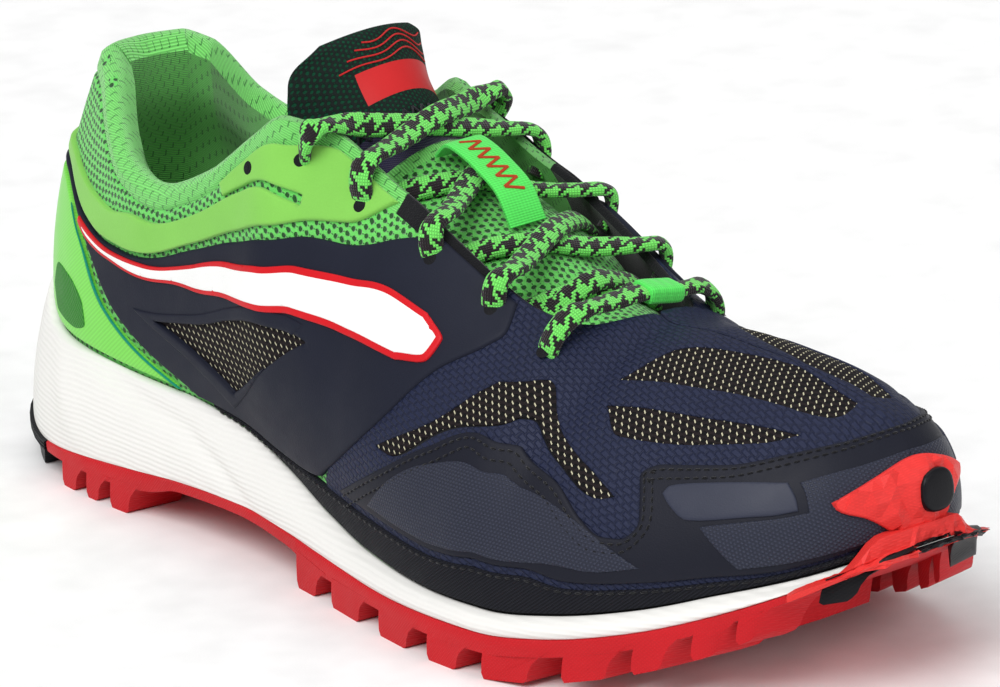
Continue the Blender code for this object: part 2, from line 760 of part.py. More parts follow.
def make_midsole():
    levels = [
        lambda turn: on_outline(turn, 3 * SOLE_SETBACK, lambda x: rubber_top(x) + FIT_GAP),
        midsole_side(0.0, 0.0),
        midsole_side(0.35, SIDE_BULGE),
        midsole_side(0.72, 0.4 * SIDE_BULGE),
        rim_outer,
        rim_inner,
        cup_floor(0.0),
    ]
    return layered("midsole", 0.0, 1.0, levels, WHITE, 0.6)


def make_insole():
    edge = UPPER_WALL + 2 * FIT_GAP + INSOLE_PLAY

    def base(turn):
        points = cup_floor(edge)(turn)
        points[..., 2] += FIT_GAP
        return points

    def face(inset, share):
        def level(turn):
            points = cup_floor(edge + inset)(turn)
            tall = INSOLE_THICKNESS * monotone(INSOLE, 1, points[..., 0] / LENGTH)
            points[..., 2] += FIT_GAP + share * tall
            return points

        return level

    levels = [base, face(0.0, 0.7), face(INSOLE_ROUND, 1.0)]
    return layered("insole", 0.0, 1.0, levels, BLACK, 0.9)


def plate_levels(ribs=0):
    """Levels of the rubber's plate, with ribs round its side where asked."""
    levels = [rib_level(0.0, 2 * SOLE_SETBACK), rib_level(0.10, SOLE_SETBACK)]
    for rib in range(ribs):
        for part, out in ((0.25, 0.0), (0.40, 1.0), (0.75, 1.0)):
            share = (rib + part) / ribs
            levels.append(rib_level(share, SOLE_SETBACK * (1 - out)))
    levels.append(lambda turn: on_outline(turn, SOLE_SETBACK, rubber_top))
    return levels


def rib_level(share, inset):
    def height(x):
        return rubber_bottom(x) + share * (rubber_top(x) - rubber_bottom(x))

    return lambda turn: on_outline(turn, inset, height)


def prism(plan, low_plan, top, bottom):
    """A lug between its plan in the plate and its plan on the ground. Both heights are functions of x."""
    count = len(plan)
    upper_ring = [(x, y, float(top(x))) for x, y in plan]
    lower_ring = [(x, y, float(bottom(x))) for x, y in low_plan]
    faces = [tuple(range(count)), tuple(range(2 * count - 1, count - 1, -1))]
    for i in range(count):
        j = (i + 1) % count
        faces.append((i, count + i, count + j, j))
    return upper_ring + lower_ring, faces


def side_plan(back, front, side, inset):
    """Plan of a lug along the sole's edge between two shares of the length. Side -1 is lateral."""
    stations = np.clip(np.linspace(back, front, 3), 0.0, 0.995)
    turns = turn_of(stations)
    turns = turns if side < 0 else 2 - turns
    outer = on_outline(turns, SOLE_SETBACK + LUG_LEDGE + inset, rubber_bottom)[:, :2]
    width = np.abs(outline(turns)[1])
    inner = on_outline(turns, np.minimum(LUG_REACH, width * LUG_REACH_SHARE) - 2 * inset, rubber_bottom)[:, :2]
    inner[:, 0] = outer[:, 0] + LUG_SLANT
    return [*outer, *inner[::-1]]


def chevron_plan(back, front, station, inset):
    """Plan of a middle lug, a chevron that points to the toe."""
    lateral = outline(float(turn_of(station)))[1]
    medial = outline(2 - float(turn_of(station)))[1]
    middle = (lateral + medial) / 2
    half = np.clip((medial - lateral) / 2 - LUG_REACH - MIDDLE_LUG_GAP, MIDDLE_LUG_LEAST, MIDDLE_LUG_MOST)
    if station > TOE_LUGS_START:
        half = TOE_LUG_SHARE * (medial - lateral)
    half -= inset
    low = back * LENGTH
    high = front * LENGTH
    return [
        (low, middle - half),
        (low + CHEVRON_POINT, middle),
        (low, middle + half),
        (high, middle + half),
        (high + CHEVRON_POINT, middle),
        (high, middle - half),
    ]


def lugs(rows):
    """Every lug of one piece of rubber, drawn in on the ground and raked at its front."""
    points = []
    faces = []
    draft = LUG_DRAFT / LENGTH
    for station, long in rows:
        half = long * LUG_PITCH / 2 / LENGTH
        rake = min(LUG_RAKE / LENGTH, LUG_RAKE_SHARE * half)
        back = station - half
        front = station + half
        low_back = back + LUG_HEEL_DRAFT_SHARE * draft
        low_front = front - rake
        plans = [
            (side_plan(back, front, side, 0.0), side_plan(low_back, low_front, side, LUG_DRAFT))
            for side in (-1, 1)
        ]
        middle = (
            chevron_plan(back, front, station, 0.0),
            chevron_plan(back + draft, front - draft, station, LUG_DRAFT),
        )
        if station > TOE_LUGS_START:
            plans = [middle]
        elif 0.1 < station < 0.9:
            plans.append(middle)
        for plan, low_plan in plans:
            more, around = prism(plan, low_plan, lambda x: rubber_bottom(x) + LUG_ROOT, tread_plane)
            faces += [tuple(index + len(points) for index in face) for face in around]
            points += more
    return points, faces


def join_lugs(piece, rows):
    points, faces = lugs(rows)
    teeth = solid(piece.name + "_teeth", points, faces, RED)
    weld_on(piece, teeth)


def weld_on(piece, other):
    """Boolean union with a hidden helper."""
    other.hide_render = True
    other.display_type = "WIRE"
    cut = piece.modifiers.new("union with " + other.name, "BOOLEAN")
    cut.operation = "UNION"
    cut.solver = "EXACT"
    cut.use_self = True
    cut.object = other


def make_rubber():
    seam = FIT_GAP / LENGTH
    heel = layered("heel_pad", 0.0, float(turn_of(HEEL_PAD_END - seam)), plate_levels(3), BLACK, 0.55)
    join_lugs(heel, BLACK_HEEL_LUGS)
    red_start = float(turn_of(HEEL_PAD_END + seam))
    red_end = float(turn_of(TOE_LUGS_START - seam))
    plate = layered("outsole", red_start, red_end, plate_levels(), RED, 0.55)
    join_lugs(plate, RED_HEEL_LUGS + BALL_LUGS)
    toe = layered("toe_lugs", float(turn_of(TOE_LUGS_START + seam)), 1.0, plate_levels(), BLACK, 0.55)
    join_lugs(toe, TOE_LUGS)


def edge_points(edge, cell):
    """Points along a smooth curve through one edge's table, in the panel plane."""
    table = np.asarray(edge, float) * (PLANE_TURN, PLANE_RISE)
    long = np.concatenate([[0], np.cumsum(np.linalg.norm(np.diff(table, axis=0), axis=1))])
    count = max(1, int(round(long[-1] / cell)))
    at = np.linspace(0, long[-1], count + 1)
    if len(table) == 2:
        return table[0] + (table[1] - table[0]) * (at / long[-1])[:, None]
    rows = np.column_stack([long, table])
    return np.column_stack([monotone(rows, 1, at), monotone(rows, 2, at)])


def loop_of(edges, cell):
    """Closed outline in the panel plane, without the double points at its corners."""
    return np.concatenate([edge_points(edge, cell)[:-1] for edge in edges])


def drawn_in(loop, distance):
    """The outline moved inward by a distance."""
    after = np.roll(loop, -1, axis=0) - loop
    before = loop - np.roll(loop, 1, axis=0)
    area = np.sum(loop[:, 0] * np.roll(loop[:, 1], -1) - np.roll(loop[:, 0], -1) * loop[:, 1])
    sign = 1.0 if area > 0 else -1.0
    inward = []
    for step in (before, after):
        step = step / np.linalg.norm(step, axis=1, keepdims=True)
        inward.append(np.column_stack([-step[:, 1], step[:, 0]]) * sign)
    mean = inward[0] + inward[1]
    reach = np.maximum(np.linalg.norm(mean, axis=1) / 2, 0.6)
    mean /= np.linalg.norm(mean, axis=1, keepdims=True)
    return loop + mean * (distance / reach)[:, None]


def inside(loop, points, margin):
    """Which points lie inside a closed outline, farther from it than the margin."""
    kept = []
    ends = np.roll(loop, -1, axis=0)
    for point in points:
        crosses = (loop[:, 1] > point[1]) != (ends[:, 1] > point[1])
        with np.errstate(divide="ignore", invalid="ignore"):
            at = loop[:, 0] + (point[1] - loop[:, 1]) * (ends[:, 0] - loop[:, 0]) / (ends[:, 1] - loop[:, 1])
        odd = np.count_nonzero(crosses & (at > point[0])) % 2
        step = ends - loop
        share = np.clip(np.sum((point - loop) * step, axis=1) / np.sum(step * step, axis=1), 0, 1)
        near = np.linalg.norm(loop + step * share[:, None] - point, axis=1).min()
        if odd and near > margin:
            kept.append(point)
    return kept


def panel(name, edges, gap, wall, colour, cell=PANEL_CELL, roughness=0.7):
    """An overlay between two faces off the upper, cut to a closed outline."""
    loop = drawn_in(loop_of(edges, cell), SEAM_GAP / 2)
    low = loop.min(axis=0)
    high = loop.max(axis=0)
    net = [(x, y) for x in np.arange(low[0], high[0], cell) for y in np.arange(low[1], high[1], cell)]
    fill = inside(loop, np.array(net), 0.45 * cell)
    flat = [Vector(point) for point in [*loop, *fill]]
    corners, _, cut, _, _, _ = delaunay_2d_cdt(flat, [], [list(range(len(loop)))], 1, 1e-7)
    plane = np.array([tuple(corner) for corner in corners])
    turn = plane[:, 0] / PLANE_TURN
    rise = plane[:, 1] / PLANE_RISE
    under = lifted(turn, rise, gap + 0 * turn)
    over = lifted(turn, rise, gap + wall + 0 * turn)
    count = len(plane)
    faces = [tuple(face) for face in cut]
    faces += [tuple(index + count for index in face[::-1]) for face in cut]
    owners = {}
    for face in cut:
        for start, end in zip(face, list(face[1:]) + [face[0]]):
            owners.setdefault(tuple(sorted((start, end))), []).append((start, end))
    for sides in owners.values():
        if len(sides) == 1:
            start, end = sides[0]
            faces.append((end, start, start + count, end + count))
    return solid(name, np.concatenate([under, over]), faces, colour, roughness)


def mirrored(edges):
    """The same outline on the other side, walked the other way."""
    return tuple(tuple((2 - turn, rise) for turn, rise in edge[::-1]) for edge in edges[::-1])


def around_heel(edges):
    """A half outline from the heel's middle, closed by its mirror image. Turns below 0 are medial."""
    return edges + tuple(tuple((-turn, rise) for turn, rise in edge[::-1]) for edge in edges[::-1])


def around_toe(upward, foot):
    """Edges that reach the toe's middle on the lateral side, carried on over to the medial side."""
    return upward + mirrored(upward) + mirrored(foot) + foot


def make_overlays():
    first = OVERLAY_GAP
    second = first + OVERLAY_WALL + OVERLAY_GAP
    panel("heel_counter", around_heel(COUNTER), first, OVERLAY_WALL, LIME, roughness=0.35)
    panel("collar_panel", COLLAR_BAND, first, OVERLAY_WALL, LIME)
    panel("saddle_lateral", SADDLE, first, OVERLAY_WALL, NAVY)
    panel("saddle_medial", mirrored(SADDLE), first, OVERLAY_WALL, NAVY)
    panel("eyestay_medial", EYESTAY_MEDIAL, first, OVERLAY_WALL, BLACK)
    panel("mudguard", around_toe(MUDGUARD_TOP, MUDGUARD_FOOT), first, OVERLAY_WALL, GREY)
    panel("rand", around_toe(RAND[:1], RAND[1:]), first, OVERLAY_WALL, BLACK)
    panel("stripe_lateral", STRIPE, second, STRIPE_WALL, WHITE)
    panel("stripe_medial", mirrored(STRIPE), second, STRIPE_WALL, WHITE)
    panel("toe_bumper", bumper_loop(), second, BUMPER_WALL, CORAL, cell=0.006, roughness=0.5)
    third = second + BUMPER_WALL + OVERLAY_GAP
    panel("bumper_pad", pad_loop(), third, PAD_WALL, BLACK, cell=0.004, roughness=0.5)


def bumper_loop():
    """The toe bumper with its two prongs on each side."""
    upper_edge, foot, low_prong, high_prong = BUMPER
    lateral = (foot, low_prong, high_prong, upper_edge)
    return lateral + mirrored(lateral)


def pad_loop():
    """A closed oval."""
    turn, rise = BUMPER_PAD_AT
    wide, tall = BUMPER_PAD_RADII
    angles = [2 * math.pi * step / 16 for step in range(17)]
    return (tuple((turn + wide * math.cos(angle), rise + tall * math.sin(angle)) for angle in angles),)


def tongue_centre(x):
    """Height of the tongue's upper face along its middle, as a function of x."""
    rows = sorted((row[0], row[1]) for row in TONGUE)
    return footbed(x) + INSTEP_RISE * monotone(rows, 1, np.asarray(x) / LENGTH)


def tongue_stations(count):
    """Sections of the tongue at equal steps: x, z, half width, thickness and how far the sides bend."""
    table = np.array(TONGUE)
    x = table[:, 0] * LENGTH
    z = footbed(x) + table[:, 1] * INSTEP_RISE
    long = np.concatenate([[0], np.cumsum(np.hypot(np.diff(x), np.diff(z)))])
    half = table[:, 2] * INSTEP_RISE
    rows = np.column_stack([long, x, z, half, table[:, 3] * TONGUE_THICKNESS, table[:, 4]])
    at = np.linspace(0, long[-1], count)
    return [monotone(rows, column, at) for column in (1, 2, 3, 4, 5)]


def make_tongue():
    """A padded blade that follows the throat and stands up at the collar."""
    x, z, half, thick, bend = tongue_stations(20)
    across = np.linspace(-1, 1, 9)
    slope_x = np.gradient(x)
    slope_z = np.gradient(z)
    long = np.hypot(slope_x, slope_z)
    up_x = slope_z / long
    up_z = -slope_x / long
    over = []
    under = []
    for i in range(len(x)):
        sag = half[i] * bend[i] * across**2
        taper = 1 - (1 - TONGUE_EDGE_SHARE) * across**2
        side = half[i] * across + TONGUE_OFFSET
        over.append(np.column_stack([x[i] - sag * up_x[i], side, z[i] - sag * up_z[i]]))
        deep = sag + thick[i] * taper
        under.append(np.column_stack([x[i] - deep * up_x[i], side, z[i] - deep * up_z[i]]))
    rows = len(x)
    columns = len(across)
    points = np.concatenate([np.concatenate(over), np.concatenate(under)])
    size = rows * columns
    faces = grid_faces(rows, columns, 0, False) + grid_faces(rows, columns, size, False, flip=True)
    for row in range(rows - 1):
        for column in (0, columns - 1):
            low = row * columns + column
            faces.append((low, low + columns, size + low + columns, size + low))
    for row in (0, rows - 1):
        for column in range(columns - 1):
            low = row * columns + column
            faces.append((low, low + 1, size + low + 1, size + low))
    return solid("tongue", points, faces, BLACK)


def sweep(path, normals, wide, thick, steps=9):
    """A flat band with rounded edges along a smooth path, facing the normals given at the path's points."""
    path = np.asarray(path, float)
    normals = np.asarray(normals, float)
    long = np.concatenate([[0], np.cumsum(np.linalg.norm(np.diff(path, axis=0), axis=1))])
    at = np.linspace(0, long[-1], steps)
    spots = np.column_stack([monotone(np.column_stack([long, path[:, k]]), 1, at) for k in range(3)])
    face = np.column_stack([monotone(np.column_stack([long, normals[:, k]]), 1, at) for k in range(3)])
    ahead = np.gradient(spots, axis=0)
    ahead /= np.linalg.norm(ahead, axis=1, keepdims=True)
    lie = np.cross(face, ahead)
    lie /= np.linalg.norm(lie, axis=1, keepdims=True)
    above = np.cross(ahead, lie)
    profile = ((-1, 0), (-0.7, 1), (0.7, 1), (1, 0), (0.7, -1), (-0.7, -1))
    points = []
    for spot, across, out in zip(spots, lie, above):
        for u, v in profile:
            points.append(spot + across * u * wide / 2 + out * v * thick / 2)
    count = len(profile)
    faces = grid_faces(steps, count, 0, True)
    faces.append(tuple(range(count)))
    faces.append(tuple(range((steps - 1) * count, steps * count)))
    return points, faces


def tongue_place(x, y):
    """A place on the tongue's upper face and its direction outward there."""
    xs, zs, half, _, bend = tongue_stations(80)
    slope_x = np.gradient(xs)
    slope_z = np.gradient(zs)
    i = int(np.argmin(np.abs(xs - x)))
    long = math.hypot(slope_x[i], slope_z[i])
    out = np.array([slope_z[i] / long, 0.0, -slope_x[i] / long])
    across = (y - TONGUE_OFFSET) / half[i]
    sag = half[i] * bend[i] * across**2
    place = np.array([xs[i], y, zs[i]]) - sag * out
    lean = out + np.array([0.0, 2 * bend[i] * across, 0.0])
    return place, lean / np.linalg.norm(lean)


def on_eyestay(turn, rise, lift):
    turn = np.array([turn])
    rise = np.array([rise])
    return lifted(turn, rise, np.array([lift]))[0], normal(turn, rise)[0]


def outer_end(turn, rise):
    """A strand's end at an eyelet outside the eyestay, and the place where it passes the throat's edge."""
    eyelet = on_eyestay(turn, rise, LACE_LIFT)
    padding = float(wall_at(turn, 1.0)) - UPPER_WALL
    edge = on_eyestay(turn, NORMAL_EDGE, LACE_LIFT + EDGE_RAISE + PAD_PASS_SHARE * padding)
    inward = np.array([0.0, -math.copysign(1.0, edge[0][1]), 0.0])
    past = edge[0] + EDGE_WIDTH * inward
    return [eyelet, edge, (past, np.array([0.0, 0.0, 1.0]) - 0.1 * inward)]


def inner_end(turn):
    """A strand's end just inside the throat's edge, over the tongue."""
    edge = top_line(np.array([turn]))[0]
    y = edge[1] + math.copysign(LACE_TUCK, -edge[1])
    place, lean = tongue_place(edge[0], y)
    return [(place + lean * (LACE_THICKNESS / 2 + TONGUE_CLEARANCE), lean)]


def strand(name, first, last, lift):
    """A strand between two ends, straight where it is clear of the tongue and else over the tongue's face.

    The lift is how much higher it passes at its middle, where it crosses another.
    """
    start = first[-1][0]
    step = last[-1][0] - start
    clear = LACE_THICKNESS / 2 + TONGUE_CLEARANCE
    points = list(first)
    for share in STRAND_SHARES:
        point = start + step * share
        place, lean = tongue_place(point[0], point[1])
        above = float((point - place).dot(lean))
        raised = max(above, clear) + lift * max(0.0, 1 - abs(share - 0.5) / CROSSING_REACH_SHARE)
        points.append((point + lean * (raised - above), lean))
    points += last[::-1]
    path = [point for point, _ in points]
    normals = [direction for _, direction in points]
    points, faces = sweep(path, normals, LACE_WIDTH, LACE_THICKNESS, 15)
    return solid(name, points, faces, MESH_GREEN)


def make_laces():
    for index in range(4):
        turn, rise = EYELETS[index + 1]
        higher, higher_rise = EYELETS[index]
        ends = inner_end(2 - higher), inner_end(higher)
        starts = outer_end(turn, rise), outer_end(2 - turn, rise)
        if index == 0:
            ends = outer_end(2 - higher, higher_rise), outer_end(higher, higher_rise)
        if index == 3:
            starts = inner_end(turn - BAR_CLEARANCE), inner_end(2 - turn + BAR_CLEARANCE)
        over = strand(f"lace_cross_{index}", starts[0], ends[0], CROSSING_LIFT_SHARE * LACE_THICKNESS)
        under = strand(f"lace_cross_{index}_under", starts[1], ends[1], 0.0)
        weld_on(over, under)
    make_bar()


def make_bar():
    """The straight strand across the throat's foot, with its keeper."""
    turn, rise = EYELETS[-1]
    near = outer_end(turn, rise)
    far = outer_end(2 - turn, rise)
    middle = (near[-1][0] + far[-1][0]) / 2
    _, up = tongue_place(middle[0], TONGUE_OFFSET)
    strand("lace_bar", near, far, BAR_LIFT)
    middle = middle + up * BAR_LIFT
    ahead = far[-1][0] - near[-1][0]
    ahead -= up * ahead.dot(up)
    ahead /= np.linalg.norm(ahead)
    across = np.cross(ahead, up)
    points = []
    for along in (-KEEPER_LENGTH / 2, KEEPER_LENGTH / 2):
        for grow in (FIT_GAP, FIT_GAP + KEEPER_WALL):
            for u, v in ((-1, -1), (1, -1), (1, 1), (-1, 1)):
                wide = LACE_WIDTH / 2 + grow
                tall = LACE_THICKNESS / 2 + grow + KEEPER_PLAY
                points.append(middle + ahead * along + across * u * wide + up * v * tall)
    faces = []
    for i in range(4):
        j = (i + 1) % 4
        faces.append((i, j, 8 + j, 8 + i))
        faces.append((4 + i, 12 + i, 12 + j, 4 + j))
        faces.append((i, 4 + i, 4 + j, j))
        faces.append((8 + i, 8 + j, 12 + j, 12 + i))
    solid("lace_keeper", points, faces, LIME)


def make_loop():
    """Webbing loop on the tongue that holds the laces in the middle."""
    table = np.array(LOOP)
    x = table[:, 0] * LENGTH
    z = tongue_centre(x) + FIT_GAP + LOOP_CLEARANCE + LOOP_WALL / 2 + table[:, 1] * LOOP_LIFT
    path = np.column_stack([x, 0 * x + TONGUE_OFFSET, z])
    normals = np.repeat(np.array([[0.3, 0.0, 1.0]]), len(path), axis=0)
    points, faces = sweep(path, normals, LOOP_WIDTH, LOOP_WALL, steps=11)
    return solid("tongue_loop", points, faces, LIME)


def centre_all():
    """Moves every mesh so that the middle of the underside of the shoe's box is the origin."""
    meshes = [thing.data for thing in bpy.data.objects]
    corners = np.array([tuple(vertex.co) for mesh in meshes for vertex in mesh.vertices])
    low = corners.min(axis=0)
    high = corners.max(axis=0)
    shift = Vector((-(low[0] + high[0]) / 2, -(low[1] + high[1]) / 2, -low[2]))
    for mesh in meshes:
        mesh.transform(Matrix.Translation(shift))


def main():
    clear_scene()
    make_upper()
    make_midsole()
    make_insole()
    make_rubber()
    make_overlays()
    make_tongue()
    make_laces()
    make_loop()
    centre_all()


main()
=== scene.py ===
"""Looks of a trail running shoe for the right foot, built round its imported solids.

+X points to the toe, -Y is the outer (lateral) side and +Z is up, in metres. A place on the upper has a
turn, 0 at the heel to 1 at the toe along the lateral side and on to 2 back along the medial side, and a
rise, 0 at the sole to 1 at the collar, the throat or the ridge of the toe box.
"""

import logging
import math
from dataclasses import dataclass
from enum import Enum
from typing import Callable, Sequence

import bmesh
import bpy
import numpy as np
from mathutils import Matrix, Vector
from mathutils.geometry import delaunay_2d_cdt


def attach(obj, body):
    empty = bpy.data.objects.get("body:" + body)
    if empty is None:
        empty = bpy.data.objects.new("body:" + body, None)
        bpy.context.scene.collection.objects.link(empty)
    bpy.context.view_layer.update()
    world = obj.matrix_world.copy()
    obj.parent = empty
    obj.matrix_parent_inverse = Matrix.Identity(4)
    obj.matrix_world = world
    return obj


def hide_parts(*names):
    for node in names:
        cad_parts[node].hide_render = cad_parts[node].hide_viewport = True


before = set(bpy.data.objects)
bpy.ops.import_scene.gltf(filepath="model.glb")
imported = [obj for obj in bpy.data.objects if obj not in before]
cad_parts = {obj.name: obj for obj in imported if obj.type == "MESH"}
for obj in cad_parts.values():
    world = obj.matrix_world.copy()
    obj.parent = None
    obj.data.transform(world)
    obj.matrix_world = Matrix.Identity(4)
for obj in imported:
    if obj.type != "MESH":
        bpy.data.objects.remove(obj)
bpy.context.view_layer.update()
log = logging.getLogger("shoe")

Array = np.ndarray
Colour = tuple[float, float, float]
Edge = tuple[tuple[float, float], ...]
Row = tuple[float, ...]
Object = bpy.types.Object
Shape = tuple[Array, list[tuple[int, ...]], Array]
End = list[tuple[Array, Array]]

UP = np.array([0.0, 0.0, 1.0])
THREAD_THICKNESS = 0.0004
TO_FRAME = np.array([-0.1455, 0.003138, 0.0])


class Side(Enum):
    """Sides of the shoe, as the sign of Y."""

    LATERAL = -1
    MEDIAL = 1


def monotone(rows: Sequence[Row], column: int, at: Array) -> Array:
    """Cubic interpolation of one column of a table that adds no overshoot between its rows.

    Args:
        rows: table sorted by its first column.
        column: column to read.
        at: values of the first column.

    Returns:
        The column's value at each of them.
    """
    table = np.asarray(rows, float)
    xs, ys = table[:, 0], table[:, column]
    span = np.diff(xs)
    rate = np.diff(ys) / span
    slope = np.concatenate([rate[:1], np.zeros(len(xs) - 2), rate[-1:]])
    near, far = rate[:-1], rate[1:]
    alike = near * far > 0
    before, after = 2 * span[1:] + span[:-1], span[1:] + 2 * span[:-1]
    with np.errstate(divide="ignore", invalid="ignore"):
        slope[1:-1] = np.where(alike, (before + after) / (before / near + after / far), 0.0)
    at = np.asarray(at, float)
    i = np.clip(np.searchsorted(xs, at, side="right") - 1, 0, len(xs) - 2)
    t = (at - xs[i]) / span[i]
    low = (1 + 2 * t) * (1 - t) ** 2 * ys[i] + t * (1 - t) ** 2 * span[i] * slope[i]
    return low + t * t * (3 - 2 * t) * ys[i + 1] + t * t * (t - 1) * span[i] * slope[i + 1]


def spline(rows: Sequence[Row], at: Array) -> Array:
    """Natural cubic spline through rows of two columns.

    Args:
        rows: table sorted by its first column.
        at: values of the first column.

    Returns:
        The curve's height at each of them.
    """
    table = np.asarray(rows, float)
    xs, ys = table[:, 0], table[:, 1]
    span, count = np.diff(xs), len(xs)
    system, right = np.eye(count), np.zeros(count)
    for i in range(1, count - 1):
        system[i, i - 1 : i + 2] = span[i - 1], 2 * (span[i - 1] + span[i]), span[i]
        right[i] = 6 * ((ys[i + 1] - ys[i]) / span[i] - (ys[i] - ys[i - 1]) / span[i - 1])
    bend = np.linalg.solve(system, right)
    i = np.clip(np.searchsorted(xs, at) - 1, 0, count - 2)
    a, b = (xs[i + 1] - at) / span[i], (at - xs[i]) / span[i]
    return a * ys[i] + b * ys[i + 1] + ((a**3 - a) * bend[i] + (b**3 - b) * bend[i + 1]) * span[i] ** 2 / 6


def smooth(share: Array) -> Array:
    """Eases a share from 0 to 1, clipped at both ends."""
    share = np.clip(share, 0, 1)
    return share * share * (3 - 2 * share)


def unit(vectors: Array) -> Array:
    """Vectors of length 1 along the last axis."""
    return vectors / np.linalg.norm(vectors, axis=-1, keepdims=True)


def side_of(turn: Array) -> Array:
    """Turn counted from the heel on either side, from 0 to 1."""
    return 1 - np.abs(1 - np.mod(turn, 2.0))


def turn_of(along: Array) -> Array:
    """Lateral turn at a share of the shoe's length."""
    return np.arccos(1 - 2 * np.asarray(along, float)) / math.pi


def closed_rows(lateral: Sequence[Row], medial: Sequence[Row]) -> list[Row]:
    """Rows of period 2 from a lateral and a medial table, with a copy before and after them."""
    once = sorted([*lateral, *((2 - row[0], *row[1:]) for row in medial if row[0] > 0)])
    once = [row for row in once if row[0] < 2]
    return [(row[0] + lap, *row[1:]) for lap in (-2, 0, 2) for row in once]


def both_sides(rows: Sequence[Row]) -> list[Row]:
    """Rows of period 2 from a table that holds for both sides."""
    return closed_rows(rows, [row for row in rows if 0 < row[0] < 1])


